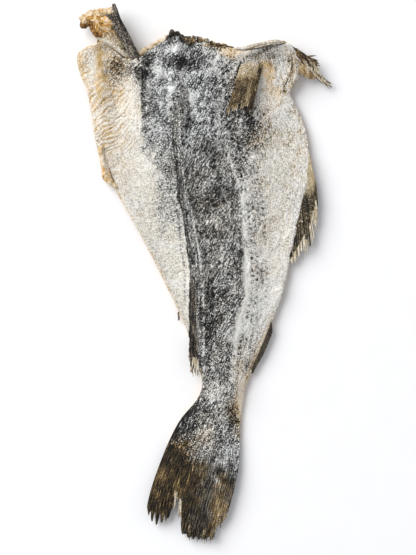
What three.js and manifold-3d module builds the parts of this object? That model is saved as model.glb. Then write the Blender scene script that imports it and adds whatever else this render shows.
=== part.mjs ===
// A salted dried cod: the headless fish is split from throat to vent, opened, salted and dried stiff.
// It lies flesh side down with its skin up, as one solid: the body with its caudal fin, the two torn ends
// of the shoulder girdle, three dorsal fins folded beside their ridge, a pectoral fin and two anal fins.
// Millimetres, +Z up, +Y towards the cut neck and -Y towards the tail. The flesh rests on Z = 0, and the
// origin is under the middle of the fish.
import * as THREE from "three";
import { mergeVertices } from "three/addons/utils/BufferGeometryUtils.js";
import Module from "manifold-3d";

const { lerp, clamp, smoothstep } = THREE.MathUtils;
const wasm = await Module();
wasm.setup();

// ---- Driving dimensions ----

// Body grid: columns from the left belly edge to the crest and on to the right edge, rows from neck to tail.
const LEFT_COLUMNS = 13;
const RIGHT_COLUMNS = 19;
const BODY_ROWS = 52;

// The straight rows that the neck cut and the frayed tail depart from, and how far each bends the rows.
const NECK_Y = 230;
const TAIL_Y = -240;
const NECK_REACH = 60;
const TAIL_REACH = 75;

// Outline: [y, x] of the belly edges. The left half of the split fish ends near y = -65.
const LEFT_EDGE = [
  [242, -122], [236, -131], [226, -135], [208, -131], [190, -124], [129, -113], [94, -98], [25, -60],
  [-65, -17], [-97, -6], [-119, -3], [-134, -9], [-156, -27], [-194, -45], [-240, -60], [-285, -64],
];
const RIGHT_EDGE = [
  [240, 90], [226, 98], [214, 99], [190, 90], [171, 99], [155, 105], [134, 109], [106, 110],
  [76, 104], [39, 95], [-21, 82], [-57, 69], [-109, 47], [-135, 40], [-165, 37], [-207, 35], [-242, 27],
  [-285, 14],
];
// The neck cut, [x, y] along the row at NECK_Y, and the fin's end, [share across, y], with its torn notch.
const NECK_CUT = [
  [110, 226], [86, 244], [52, 238], [37, 235], [16, 239], [-5, 246], [-26, 247], [-42, 243],
  [-58, 233], [-70, 225], [-84, 226], [-100, 239], [-114, 243], [-127, 239], [-136, 230],
];
const FIN_END = [
  [1, -258], [0.93, -269], [0.86, -277], [0.76, -280], [0.62, -279], [0.5, -275], [0.44, -266],
  [0.41, -236], [0.36, -238], [0.3, -247], [0.24, -259], [0.12, -264], [0.05, -259], [0, -247],
];
// The crest along the back that carries the dorsal fins, and the lateral line down the right flank.
const BACK_CREST = [
  [240, -30], [182, -28], [140, -24], [87, -18], [50, -13], [12, -6], [-28, -3], [-130, -2],
];
const LATERAL_LINE = [
  [240, 8], [163, 22], [103, 35], [45, 41], [-18, 43], [-65, 33], [-118, 23], [-191, 4],
];

// Thickness down the body: the back's muscle, the right and left belly flaps, and the undivided tail.
const BACK_THICK = [[240, 27], [180, 25], [100, 23], [0, 21], [-90, 19], [-140, 17]];
const RIGHT_FLAP = [[240, 9], [190, 6], [100, 5], [-20, 6], [-100, 9], [-140, 10]];
const LEFT_FLAP = [[240, 9], [190, 7], [100, 5], [20, 5], [-60, 4.5], [-140, 8]];
const TAIL_THICK = [[-80, 18], [-130, 17], [-160, 12], [-190, 6.5], [-215, 3.8], [-250, 2.6], [-285, 2]];
// How far the edges and the tail curl off the table.
const RIGHT_LIFT = [[240, 15], [200, 8], [150, 7], [90, 11], [20, 9], [-60, 5], [-130, 2]];
const LEFT_LIFT = [[240, 11], [200, 7], [130, 5], [60, 6], [-20, 5], [-90, 3], [-130, 2]];
const TAIL_LIFT = [[-90, 0], [-140, 0.5], [-180, 3.5], [-230, 8], [-285, 7]];
const RIM_THICK = 2.2;
// Flesh that would hang lower than this over the table is pressed flat on it.
const PRESSED = 1.1;

const SOLID_NAME = "cod";
const SKIN_COLOUR = 0x8f8a84;

// ---- Curves, relief and random draws ----

// A smooth function through [at, value] pairs in falling order, held level beyond both ends.
function through(pairs) {
  const slope = (k) => {
    const [before, after] = [pairs[Math.max(k - 1, 0)], pairs[Math.min(k + 1, pairs.length - 1)]];
    return (after[1] - before[1]) / (after[0] - before[0]);
  };
  return (at) => {
    const k = pairs.findIndex((pair) => at >= pair[0]);
    if (k === 0) return pairs[0][1];
    if (k < 0) return pairs.at(-1)[1];
    const [[from, start], [to, end]] = [pairs[k - 1], pairs[k]];
    const span = to - from;
    const t = (at - from) / span;
    const s = 1 - t;
    const bend = span * t * s * (slope(k - 1) * s - slope(k) * t);
    return start * s * s * (1 + 2 * t) + end * t * t * (1 + 2 * s) + bend;
  };
}

// Repeatable random numbers from 0 to 1.
function seeded(seed) {
  let state = seed;
  return () => {
    state = (state * 1664525 + 1013904223) % 4294967296;
    return state / 4294967296;
  };
}

// A bell of height 1 and the given half width.
const bell = (distance, width) => Math.exp(-((distance / width) ** 2));

// Slow uneven waves from -1 to 1, about `size` millimetres from crest to crest.
function swell(x, y, size) {
  const k = (2 * Math.PI) / size;
  return (
    (Math.sin(k * (0.8 * x + 0.5 * y) + 1.7 * Math.sin(k * 0.31 * y)) +
      Math.sin(k * (0.35 * x - 0.9 * y) + 1.3 * Math.sin(k * 0.43 * x + 2)) +
      Math.sin(k * 0.6 * (x + 0.2 * y) + 4)) / 3
  );
}

const leftEdge = through(LEFT_EDGE);
const rightEdge = through(RIGHT_EDGE);
const neckCut = through(NECK_CUT);
const finEnd = through(FIN_END);
const backCrest = through(BACK_CREST);
const lateralLine = through(LATERAL_LINE);
const backThick = through(BACK_THICK);
const rightFlap = through(RIGHT_FLAP);
const leftFlap = through(LEFT_FLAP);
const tailThick = through(TAIL_THICK);
const rightLift = through(RIGHT_LIFT);
const leftLift = through(LEFT_LIFT);
const tailLift = through(TAIL_LIFT);

// ---- The body's two faces as heights over the table ----

// Where a point lies: on which side of the crest, how far out from it towards the belly edge (0 to 1), how
// far from the middle of the whole width (0 to 1), and how much it belongs to the undivided tail.
function placeOn(x, y) {
  const crest = backCrest(y);
  const left = leftEdge(y);
  const right = rightEdge(y);
  const onRight = x > crest;
  const out = onRight ? (x - crest) / (right - crest) : (crest - x) / Math.max(crest - left, 1);
  const across = Math.abs((2 * (x - left)) / (right - left) - 1);
  const tail = 1 - smoothstep(y, -140, -70);
  return { crest, onRight, out: clamp(out, 0, 1), across: clamp(across, 0, 1), tail };
}

// The flesh side: edges and tail curl up, a groove runs where the backbone was cut out, the rest is pressed.
function fleshHeight(x, y) {
  const { crest, onRight, out, across, tail } = placeOn(x, y);
  const curled = (onRight ? rightLift(y) : leftLift(y)) * out ** 2.2;
  const groove = 4 * bell(x - crest, 9) * smoothstep(y, -60, 0);
  const tailUnder = tailLift(y) + 0.3 * tailThick(y) * across ** 3;
  return Math.max(0, lerp(curled, tailUnder, tail) + groove + 0.9 * swell(x, y, 90) - PRESSED);
}

function thickness(x, y) {
  const { onRight, out, across, tail } = placeOn(x, y);
  const flap = onRight ? rightFlap(y) : leftFlap(y);
  const muscle = 1 - smoothstep(out, onRight ? 0.3 : 0.1, onRight ? 0.95 : 0.85);
  const open = lerp(flap, backThick(y), muscle);
  const shut = tailThick(y) * (1 - 0.8 * across ** 2.5);
  const rounded = Math.sqrt(1 - lerp(out, across, tail) ** 10);
  return RIM_THICK + Math.max(lerp(open, shut, tail) - RIM_THICK, 0) * rounded;
}

// Ridges and creases of the skin: the fins' crest, the swell of the back, the lateral line's groove, the
// rolled left margin with its crease and diagonal wrinkles, and the lip curled up along the right collar.
function skinRelief(x, y) {
  const { crest, onRight, out, tail } = placeOn(x, y);
  const open = 1 - tail;
  const back = 3.4 * bell(x - crest, 7) + 2.6 * bell(x - crest - 32, 17);
  const groove = -1.1 * bell(x - lateralLine(y), 6) * smoothstep(y, -150, -60);
  if (onRight) {
    const neckLip = 5 * bell(neckCut(x) - y - 5, 7) * smoothstep(x, 10, 50);
    const sideLip = 5 * bell(rightEdge(y) - x - 4, 7) * smoothstep(y, 178, 205);
    return (back + 0.8 * swell(x, y, 46)) * open + groove + Math.max(neckLip, sideLip);
  }
  const margin = 3.4 * bell(out - 0.86, 0.1) * smoothstep(y, 110, 190);
  const crease = -2.6 * bell(out - 0.69, 0.06) * smoothstep(y, 120, 180);
  const wrinkles = 0.9 * Math.sin((x - y) / 4.6 + 1.5 * Math.sin(y / 19)) * bell(out - 0.6, 0.35);
  return (back + wrinkles + 0.8 * swell(x, y, 46)) * open + margin + crease;
}

const skinHeight = (x, y) => fleshHeight(x, y) + thickness(x, y) + skinRelief(x, y);

// ---- Building solids ----

// A solid of manifold-3d from a closed three.js geometry, whichever way its faces point.
function solidOf(geometry) {
  const bare = new THREE.BufferGeometry().setAttribute("position", geometry.getAttribute("position"));
  if (geometry.index) bare.setIndex(geometry.index);
  const merged = mergeVertices(bare, 1e-4);
  const vertProperties = merged.attributes.position.array;
  const triVerts = new Uint32Array(merged.index.array);
  const made = () => new wasm.Manifold(new wasm.Mesh({ numProp: 3, vertProperties, triVerts }));
  if (made().volume() < 0) triVerts.reverse();
  return made();
}

// A closed sheet of columns by rows quads between two faces, each a function of (u, v) from 0 to 1.
function slab(columns, rows, upper, lower) {
  const points = [];
  const index = [];
  const wide = columns + 1;
  const face = wide * (rows + 1);
  for (const side of [upper, lower])
    for (let j = 0; j <= rows; j++)
      for (let i = 0; i <= columns; i++) points.push(...side(i / columns, j / rows));
  const quad = (a, b, c, d) => index.push(a, b, c, a, c, d);
  for (let j = 0; j < rows; j++)
    for (let i = 0; i < columns; i++) {
      const a = j * wide + i;
      quad(a, a + wide, a + wide + 1, a + 1);
      quad(face + a, face + a + 1, face + a + wide + 1, face + a + wide);
    }
  const rim = (a, b) => quad(a, b, face + b, face + a);
  for (let i = 0; i < columns; i++) {
    rim(i, i + 1);
    rim(rows * wide + i + 1, rows * wide + i);
  }
  for (let j = 0; j < rows; j++) {
    rim((j + 1) * wide, j * wide);
    rim(j * wide + columns, (j + 1) * wide + columns);
  }
  return solidOf(
    new THREE.BufferGeometry()
      .setAttribute("position", new THREE.Float32BufferAttribute(points, 3))
      .setIndex(index),
  );
}

// A smooth curve through [x, y, z] points.
const curve = (points) => new THREE.CatmullRomCurve3(points.map((p) => new THREE.Vector3(...p)));

// A fin or flap: a thin sheet between a root line and a tip line, both lists of [x, y, z] points on its top
// face. Its rays are uneven ridges on every second column, and its tips are torn back by random amounts of
// up to `fray` of their length. `thick` is its depth at the root and `thin` at the tip.
function blade({ root, tip, columns, rows, thick, thin = thick, fray, ridge = 0.5, arch = 0, seed }) {
  const random = seeded(seed);
  const from = curve(root);
  const to = curve(tip);
  const ray = Array.from({ length: columns + 1 }, (_, i) => (i % 2 ? ridge * (0.5 + random()) : 0));
  const torn = ray.map((height) => fray * (height ? random() : 0.55 + 0.45 * random()));
  const face = (u, v, under) => {
    const column = Math.round(u * columns);
    const length = v * (1 - torn[column] * smoothstep(v, 0.5, 1));
    const point = from.getPoint(u).lerp(to.getPoint(u), length);
    const drop = under * (lerp(thick, thin, length) + 2 * ray[column]) - ray[column];
    return [point.x, point.y, point.z + arch * Math.sin(Math.PI * v) - drop];
  };
  return slab(columns, rows, (u, v) => face(u, v, 0), (u, v) => face(u, v, 1));
}

// A rod along a line of [x, y, z] points, with a radius at each, closed by a blunt point at both ends.
function rod(line, radii, sides, steps) {
  const path = curve(line);
  const frames = path.computeFrenetFrames(steps);
  const radius = through(radii.map((r, k) => [1 - k / (radii.length - 1), r]));
  const ends = (v) => Math.sqrt(1 - Math.abs(2 * v - 1) ** 12);
  return solidOf(
    closedLoft(sides, steps, (u, v, step) => {
      const turn = 2 * Math.PI * u;
      const reach = radius(1 - v) * ends(v);
      return path
        .getPointAt(v)
        .addScaledVector(frames.normals[step], Math.cos(turn) * reach)
        .addScaledVector(frames.binormals[step], Math.sin(turn) * reach);
    }),
  );
}

// A tube of rings whose first and last rings have no radius, so that merging their points closes it.
function closedLoft(sides, steps, at) {
  const points = [];
  const index = [];
  for (let step = 0; step <= steps; step++)
    for (let k = 0; k < sides; k++) points.push(...at(k / sides, step / steps, step).toArray());
  for (let step = 0; step < steps; step++)
    for (let k = 0; k < sides; k++) {
      const [a, b] = [step * sides + k, step * sides + ((k + 1) % sides)];
      if (step > 0) index.push(a, b, a + sides);
      if (step < steps - 1) index.push(b, b + sides, a + sides);
    }
  return new THREE.BufferGeometry()
    .setAttribute("position", new THREE.Float32BufferAttribute(points, 3))
    .setIndex(index);
}

// A crumbly lump of dried flesh: an ellipsoid with an uneven skin.
function lump([x, y, z], [rx, ry, rz], rough, seed) {
  const ball = new THREE.IcosahedronGeometry(1, 2);
  const position = ball.getAttribute("position");
  const point = new THREE.Vector3();
  for (let k = 0; k < position.count; k++) {
    point.fromBufferAttribute(position, k);
    const crag = Math.sin(5.1 * point.x + seed) * Math.sin(4.3 * point.y + 2 * seed);
    const pit = Math.sin(6.7 * point.z + 3 * seed);
    point.multiplyScalar(1 + rough * (crag + pit)).multiply(new THREE.Vector3(rx, ry, rz));
    position.setXYZ(k, point.x + x, point.y + y, point.z + z);
  }
  ball.deleteAttribute("normal");
  ball.deleteAttribute("uv");
  return solidOf(ball);
}

// [x, y, z] with z measured from the skin below the point.
const onSkin = (x, y, above) => [x, y, skinHeight(x, y) + above];

// ---- The fish's parts ----

// The split body and caudal fin. One column runs along the crest, and towards the tail the columns spread
// evenly to become the fin's rays, which end in teeth.
function body() {
  const columns = LEFT_COLUMNS + RIGHT_COLUMNS;
  const random = seeded(11);
  const tooth = Array.from({ length: columns + 1 }, (_, i) => (i % 2 ? -3 : 0) + 4 * random());
  const ragged = tooth.map(() => 2 * random() - 1);
  const ray = tooth.map((_, i) => (i % 2 ? 0.25 + 0.4 * random() : -0.1));
  const acrossAt = (column, y) => {
    const left = leftEdge(y);
    const right = rightEdge(y);
    const even = lerp(left, right, LEFT_COLUMNS / columns);
    const seam = lerp(even, backCrest(y), smoothstep(y, -110, -10));
    if (column <= LEFT_COLUMNS) return lerp(left, seam, column / LEFT_COLUMNS);
    return lerp(seam, right, (column - LEFT_COLUMNS) / RIGHT_COLUMNS);
  };
  const place = (u, v, fringe) => {
    const row = lerp(NECK_Y, TAIL_Y, v);
    const column = Math.round(u * columns);
    const nearNeck = smoothstep(row, NECK_Y - NECK_REACH, NECK_Y) ** 2;
    const nearTail = (1 - smoothstep(row, TAIL_Y, TAIL_Y + TAIL_REACH)) ** 1.5;
    const cut = neckCut(acrossAt(column, NECK_Y)) + ragged[column] + fringe;
    const y = row + (cut - NECK_Y) * nearNeck + (finEnd(u) + tooth[column] - TAIL_Y) * nearTail;
    return [acrossAt(column, y), y, ray[column] * (1 - smoothstep(y, -225, -185))];
  };
  const skin = (u, v) => {
    const [x, y, relief] = place(u, v, 0);
    return [x, y, skinHeight(x, y) + relief];
  };
  // The flesh stands out past the skin along the left half of the neck cut.
  const flesh = (u, v) => {
    const [x, y, relief] = place(u, v, 4.5 * bell(u - 0.37, 0.1));
    return [x, y, Math.max(0, fleshHeight(x, y) - relief)];
  };
  return slab(columns, BODY_ROWS, skin, flesh);
}

// The left end of the shoulder girdle: a flat bone that stands past the neck, with torn flesh beside it.
function leftCollar() {
  const bone = blade({
    root: [onSkin(-85, 217, -2), onSkin(-75, 214, -1), onSkin(-63, 216, 0)],
    tip: [[-101, 277, 22], [-97, 281, 24], [-92, 278, 23]],
    columns: 4, rows: 7, thick: 9, thin: 5, fray: 0.03, ridge: 0.4, seed: 3,
  });
  const flesh = blade({
    root: [onSkin(-112, 222, -4), onSkin(-95, 218, -3), onSkin(-78, 216, -3)],
    tip: [[-119, 262, 18], [-108, 268, 20], [-96, 266, 22]],
    columns: 6, rows: 6, thick: 6, thin: 9, fray: 0.06, ridge: 0.6, seed: 5,
  });
  const crumbs = [
    lump([-125, 266, 15], [9, 9, 6], 0.13, 1),
    lump([-115, 270, 17], [14, 7, 8], 0.13, 2),
    lump([-103, 271, 20], [10, 7, 6], 0.12, 4),
  ];
  return [bone, flesh, ...crumbs];
}

// The right end of the girdle: a roll along the neck and down the flank, and a twisted splintered tip.
function rightCollar() {
  const roll = rod(
    [[16, 230, 20], [38, 231, 22], [62, 235, 22], [84, 237, 21], [95, 228, 20], [97, 214, 17],
      [93, 201, 13], [87, 188, 8]],
    [3, 4.5, 5, 6, 7, 7, 6, 3.5], 8, 24,
  );
  const tip = rod(
    [[86, 236, 24], [100, 227, 21], [113, 215, 15], [124, 205, 10], [134, 196, 6]],
    [5, 5.5, 5.5, 4.5, 1.2], 7, 12,
  );
  const flesh = blade({
    root: [[97, 224, 17], [96, 214, 15], [98, 205, 13]],
    tip: [[124, 206, 9], [121, 202, 8], [116, 200, 7]],
    columns: 4, rows: 4, thick: 6, thin: 4, fray: 0.1, seed: 8,
  });
  const splinters = [5, 9, 13].map((out) =>
    rod([[111, 215, 13], [116 + out / 2, 211 + out / 3, 13], [120 + out, 204 + out, 10 + out / 3]],
      [2.2, 1.6, 0.5], 5, 4),
  );
  return [roll, tip, flesh, ...splinters];
}

// A dark broken knob of the nape where the head was torn off.
const nape = () => [lump([-31, 245, 19], [9, 8, 7], 0.08, 3), lump([-8, 243, 18], [15, 6, 7], 0.08, 6)];

// Three dorsal fins lie folded to the left of the crest, tips towards the tail.
function dorsalFins() {
  const strip = (stations, reach, seed, fray, rows) =>
    blade({
      root: stations.map((y) => onSkin(backCrest(y) - 1, y, -0.6)),
      tip: stations.map((y, k) => onSkin(backCrest(y) - reach[k], y - 10, 1.8)),
      columns: 12, rows, thick: 5, fray, ridge: 0.35, seed,
    });
  const first = strip([188, 172, 150, 130], [5, 11, 12, 7], 21, 0.15, 2);
  const second = strip([126, 96, 60, 22, -8], [7, 14, 14, 13, 8], 22, 0.12, 2);
  const third = blade({
    root: [onSkin(-4, -12, -0.5), onSkin(-4, -50, -0.5), onSkin(-3, -88, -0.5), [-1, -106, 14]],
    tip: [onSkin(-12, -30, 1), [-18, -66, 13], [-18, -98, 9], [-8, -118, 7]],
    columns: 14, rows: 3, thick: 6, thin: 2.6, fray: 0.22, ridge: 0.35, seed: 23,
  });
  return [first, second, third];
}

// The right pectoral fin, dried flat on the flank and broken off short.
const pectoralFin = () =>
  blade({
    root: [onSkin(36, 217, 1), onSkin(48, 219, 3), onSkin(60, 217, 1)],
    tip: [onSkin(21, 168, 2.6), onSkin(35, 166, 3.4), onSkin(48, 168, 2.6)],
    columns: 10, rows: 5, thick: 7, thin: 6, fray: 0.14, ridge: 0.4, arch: 1.5, seed: 31,
  });

// The two anal fins stand out past the right belly edge with their rays split at the ends.
function analFins() {
  const rootLine = (stations) => stations.map((y) => onSkin(rightEdge(y) - 6, y, -1.2));
  const front = blade({
    root: rootLine([124, 95, 68, 42, 16]),
    tip: [[111, 112, 12], [119, 80, 11], [120, 50, 10], [113, 22, 9], [91, 6, 9]],
    columns: 18, rows: 3, thick: 3, thin: 2.4, fray: 0.28, ridge: 0.4, seed: 41,
  });
  const rear = blade({
    root: rootLine([-50, -68, -88, -106]),
    tip: [[74, -57, 8], [73, -71, 7.5], [64, -88, 7], [50, -109, 7]],
    columns: 10, rows: 2, thick: 3, thin: 2.4, fray: 0.15, ridge: 0.35, seed: 42,
  });
  return [front, rear];
}

// A shred of dried belly lining that hangs out at the left edge.
const shred = () =>
  rod(
    [[-108, 133, 8], [-110, 124, 7], [-109, 112, 7], [-103, 101, 7], [-94, 94, 8]],
    [2, 3, 4, 4.5, 3], 6, 8,
  );

const joined = wasm.Manifold.union([
  body(),
  ...leftCollar(),
  ...rightCollar(),
  ...nape(),
  ...dorsalFins(),
  pectoralFin(),
  ...analFins(),
  shred(),
]);
// Pores shut in between the joined parts come out as shells of their own, and only the outer skin is kept.
const [fish] = joined.decompose().sort((a, b) => b.volume() - a.volume());
const whole = fish.getMesh();

const cod = new THREE.Mesh(
  new THREE.BufferGeometry()
    .setAttribute("position", new THREE.BufferAttribute(whole.vertProperties, 3))
    .setIndex(new THREE.BufferAttribute(whole.triVerts, 1)),
  new THREE.MeshStandardMaterial({ color: SKIN_COLOUR, roughness: 0.85, metalness: 0 }),
);
cod.name = SOLID_NAME;
cod.geometry.computeBoundingBox();
const middle = cod.geometry.boundingBox.getCenter(new THREE.Vector3());
cod.geometry.translate(-middle.x, -middle.y, 0);
cod.geometry.computeVertexNormals();

const part = new THREE.Group();
part.add(cod);

export default part;
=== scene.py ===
import math

import bmesh
import bpy
import numpy as np
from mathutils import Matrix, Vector, noise


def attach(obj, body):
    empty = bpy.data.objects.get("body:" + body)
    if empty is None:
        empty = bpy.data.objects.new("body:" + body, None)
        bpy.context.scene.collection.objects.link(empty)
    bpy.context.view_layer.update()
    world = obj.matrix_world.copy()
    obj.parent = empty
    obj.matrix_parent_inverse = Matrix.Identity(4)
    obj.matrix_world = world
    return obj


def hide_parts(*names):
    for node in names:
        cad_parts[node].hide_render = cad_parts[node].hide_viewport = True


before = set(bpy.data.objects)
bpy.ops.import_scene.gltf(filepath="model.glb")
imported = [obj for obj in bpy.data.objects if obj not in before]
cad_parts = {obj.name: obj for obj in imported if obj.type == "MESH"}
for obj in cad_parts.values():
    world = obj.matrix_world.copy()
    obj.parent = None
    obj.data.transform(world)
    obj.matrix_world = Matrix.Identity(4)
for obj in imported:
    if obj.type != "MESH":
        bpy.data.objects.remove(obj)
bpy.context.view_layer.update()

# ---- Split body and caudal fin ----
# The fish is cut open from throat to vent, its head and most of its backbone are taken out, and it is salted
# and dried flat. Its skin is up: an ivory belly, a grey back under a bloom of salt, and a thin tail fin of
# split rays. Sizes are millimetres, drawn from an origin that lies SHIFT away from the frame's own.

MM = 0.001
SHIFT = (0.87, 1.72, 0)

LEFT_COLUMNS = 94
RIGHT_COLUMNS = 98
BODY_ROWS = 400
# The underside has one column and row for so many of the upper side's.
UNDERSIDE_STEP = 2
ROWS_ABOVE_VENT = 0.62
VENT_Y = -20

NECK_Y = 230
TAIL_Y = -240
NECK_REACH = 60
TAIL_REACH = 75
RIM_THICK = 2.2
PRESSED = 1.1
FLAKE_PITCH = 11
# How far the torn flesh at the nape reaches past the skin.
FLESH_FRINGE = 4.5


def through(pairs):
    """A smooth function through (at, value) pairs, held level beyond both ends."""
    at, value = np.array(sorted(pairs), float).T
    order = np.arange(len(at))
    before = np.maximum(order - 1, 0)
    after = np.minimum(order + 1, len(at) - 1)
    slope = (value[after] - value[before]) / (at[after] - at[before])

    def curve(x):
        x = np.clip(x, at[0], at[-1])
        k = np.clip(np.searchsorted(at, x) - 1, 0, len(at) - 2)
        span = at[k + 1] - at[k]
        t = (x - at[k]) / span
        s = 1 - t
        bend = span * t * s * (slope[k] * s - slope[k + 1] * t)
        return value[k] * s * s * (1 + 2 * t) + value[k + 1] * t * t * (1 + 2 * s) + bend

    return curve


# The outline: x at y down both edges, y at x along the neck, and y at the share across the tail fin.
left_edge = through([
    (242, -122), (236, -131), (226, -135), (208, -131), (190, -124), (129, -113), (94, -98), (25, -60),
    (-65, -17), (-97, -6), (-119, -3), (-134, -9), (-156, -27), (-194, -45), (-240, -60), (-285, -64),
])
right_edge = through([
    (240, 90), (226, 98), (214, 99), (190, 90), (171, 99), (155, 105), (134, 109), (106, 110),
    (76, 104), (39, 95), (-21, 82), (-57, 69), (-109, 47), (-135, 40), (-165, 37), (-207, 35), (-242, 27),
    (-285, 14),
])
neck_cut = through([
    (110, 226), (86, 244), (52, 238), (37, 235), (16, 239), (-5, 246), (-26, 247), (-42, 243),
    (-58, 233), (-70, 225), (-84, 226), (-100, 237), (-114, 243), (-127, 239), (-136, 230),
])
fin_end = through([
    (1, -257), (0.97, -263), (0.94, -264), (0.91, -268), (0.88, -277), (0.84, -280), (0.76, -280),
    (0.62, -278), (0.52, -275), (0.46, -268), (0.425, -250), (0.41, -237), (0.38, -237), (0.33, -244),
    (0.28, -256), (0.24, -260), (0.12, -264), (0.05, -258), (0, -246),
])
# Where the flesh side turns into skin again, y at x.
flesh_end = through([(-50, -176), (-40, -181), (-22, -190), (-6, -197), (8, -193), (22, -186), (36, -179)])
# Lines down the back, x at y, and how thick the fish is and how far its edges curl up, each at y.
back_crest = through([
    (240, -30), (182, -28), (140, -24), (87, -18), (50, -13), (12, -6), (-28, -3), (-130, -2),
])
lateral_line = through([
    (240, 8), (163, 18), (112, 28), (92, 35.5), (45, 41), (-18, 43), (-65, 33), (-118, 23), (-191, 4),
])
back_thick = through([(240, 27), (180, 25), (100, 23), (0, 21), (-90, 19), (-140, 17)])
right_flap = through([(240, 9), (190, 6), (100, 5), (-20, 6), (-100, 9), (-140, 10)])
left_flap = through([(240, 9), (190, 7), (100, 5), (20, 5), (-60, 4.5), (-140, 8)])
tail_thick = through([(-80, 18), (-130, 17), (-160, 12), (-190, 6.5), (-215, 3.8), (-250, 2.6), (-285, 2)])
right_lift = through([(240, 15), (200, 8), (150, 7), (90, 11), (20, 9), (-60, 5), (-130, 2)])
left_lift = through([(240, 11), (200, 7), (130, 5), (60, 6), (-20, 5), (-90, 3), (-130, 2)])
tail_lift = through([(-90, 0), (-140, 0.5), (-180, 3.5), (-230, 8), (-285, 7)])


def lerp(start, end, share):
    return start + (end - start) * share


def smooth(value, low, high):
    """0 below low, 1 above high, and a soft step between them."""
    t = np.clip((value - low) / (high - low), 0, 1)
    return t * t * (3 - 2 * t)


def between(value, low, start, end, past):
    """0 up to low, 1 from start to end, and 0 again beyond past."""
    return smooth(value, low, start) * (1 - smooth(value, end, past))


def bell(distance, width):
    return np.exp(-((distance / width) ** 2))


def swell(x, y, size):
    """Slow uneven waves from -1 to 1, about `size` from crest to crest."""
    k = 2 * math.pi / size
    one = np.sin(k * (0.8 * x + 0.5 * y) + 1.7 * np.sin(k * 0.31 * y))
    two = np.sin(k * (0.35 * x - 0.9 * y) + 1.3 * np.sin(k * 0.43 * x + 2))
    return (one + two + np.sin(k * 0.6 * (x + 0.2 * y) + 4)) / 3


# Random bumps repeat after so many down and across, and start off the drawing's own axes.
BUMPS_DOWN, BUMPS_ACROSS = 89, 97
BUMPS_START = (300.3, 300.7)


def rumple(x, y, size, seed):
    """Soft random bumps from -1 to 1, about `size` apart."""
    lattice = np.random.default_rng(seed).uniform(-1, 1, (BUMPS_DOWN, BUMPS_ACROSS))
    x, y = np.broadcast_arrays(x / size + BUMPS_START[0], y / size + BUMPS_START[1])
    i, j = np.floor(x).astype(int), np.floor(y).astype(int)
    s, t = smooth(x - i, 0, 1), smooth(y - j, 0, 1)

    def corner(right, down):
        return lattice[(j + down) % BUMPS_DOWN, (i + right) % BUMPS_ACROSS]

    near = lerp(corner(0, 0), corner(1, 0), s)
    far = lerp(corner(0, 1), corner(1, 1), s)
    return lerp(near, far, t)




def place_on(x, y):
    """Whether a point is right of the crest, its shares out to the belly edge and away from the middle, and
    how much of it is tail."""
    crest, left, right = back_crest(y), left_edge(y), right_edge(y)
    on_right = x > crest
    out = np.where(on_right, (x - crest) / (right - crest), (crest - x) / np.maximum(crest - left, 1))
    across = np.abs(2 * (x - left) / (right - left) - 1)
    return on_right, np.clip(out, 0, 1), np.clip(across, 0, 1), 1 - smooth(y, -140, -70)


def flesh_height(x, y):
    on_right, out, across, tail = place_on(x, y)
    curled = np.where(on_right, right_lift(y), left_lift(y)) * out**2.2
    groove = 4 * bell(x - back_crest(y), 9) * smooth(y, -60, 0)
    tail_under = tail_lift(y) + 0.3 * tail_thick(y) * across**3
    return np.maximum(0, lerp(curled, tail_under, tail) + groove + 0.9 * swell(x, y, 90) - PRESSED)


def thickness(x, y):
    on_right, out, across, tail = place_on(x, y)
    flap = np.where(on_right, right_flap(y), left_flap(y))
    muscle = 1 - np.where(on_right, smooth(out, 0.3, 0.95), smooth(out, 0.1, 0.85))
    split = lerp(flap, back_thick(y), muscle)
    shut = tail_thick(y) * (1 - 0.8 * across**2.5)
    rounded = np.sqrt(1 - lerp(out, across, tail) ** 10)
    return RIM_THICK + np.maximum(lerp(split, shut, tail) - RIM_THICK, 0) * rounded


def skin_relief(x, y):
    """The dorsal crest, the back's swell, the lateral groove, the rolled left margin and the collar's lip."""
    on_right, out, _, tail = place_on(x, y)
    back = 3.4 * bell(x - back_crest(y), 7) + 2.6 * bell(x - back_crest(y) - 32, 17)
    groove = -1.1 * bell(x - lateral_line(y), 6) * smooth(y, -150, -60)
    neck_lip = 5 * bell(neck_cut(x) - y - 5, 7) * smooth(x, 10, 50)
    side_lip = 3 * bell(right_edge(y) - x - 4, 9) * smooth(y, 178, 205)
    margin = 3.4 * bell(out - 0.86, 0.1) * smooth(y, 110, 190)
    crease = -1.6 * bell(out - 0.69, 0.06) * smooth(y, 120, 180)
    sided = np.where(on_right, groove + np.maximum(neck_lip, side_lip), margin + crease)
    return (back + 0.8 * swell(x, y, 46)) * (1 - tail) + sided


# The belly skin's wrinkles climb to the right: steeply by the neck, and more gently down the flap. So do the
# salt ridges of the back, which are steeper still.
WRINKLE_PITCH, WRINKLE_LONG = 3.8, 9
wrinkle_levels = np.arange(-300.0, 300.0)
wrinkle_drift = np.cumsum(1 / np.tan(np.radians(lerp(17, 46, smooth(wrinkle_levels, 90, 180)))))
ridge_drift = np.cumsum(1 / np.tan(np.radians(lerp(62, 86, smooth(wrinkle_levels, 130, 190)))))


def wrinkle_map(x, y):
    """How far a point lies across the wrinkles, and how far along them."""
    over = 0.6 * (x - np.interp(y, wrinkle_levels, wrinkle_drift)) + 3 * rumple(x, y, 21, 5)
    return over, 0.8 * x + 0.6 * y


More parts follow.
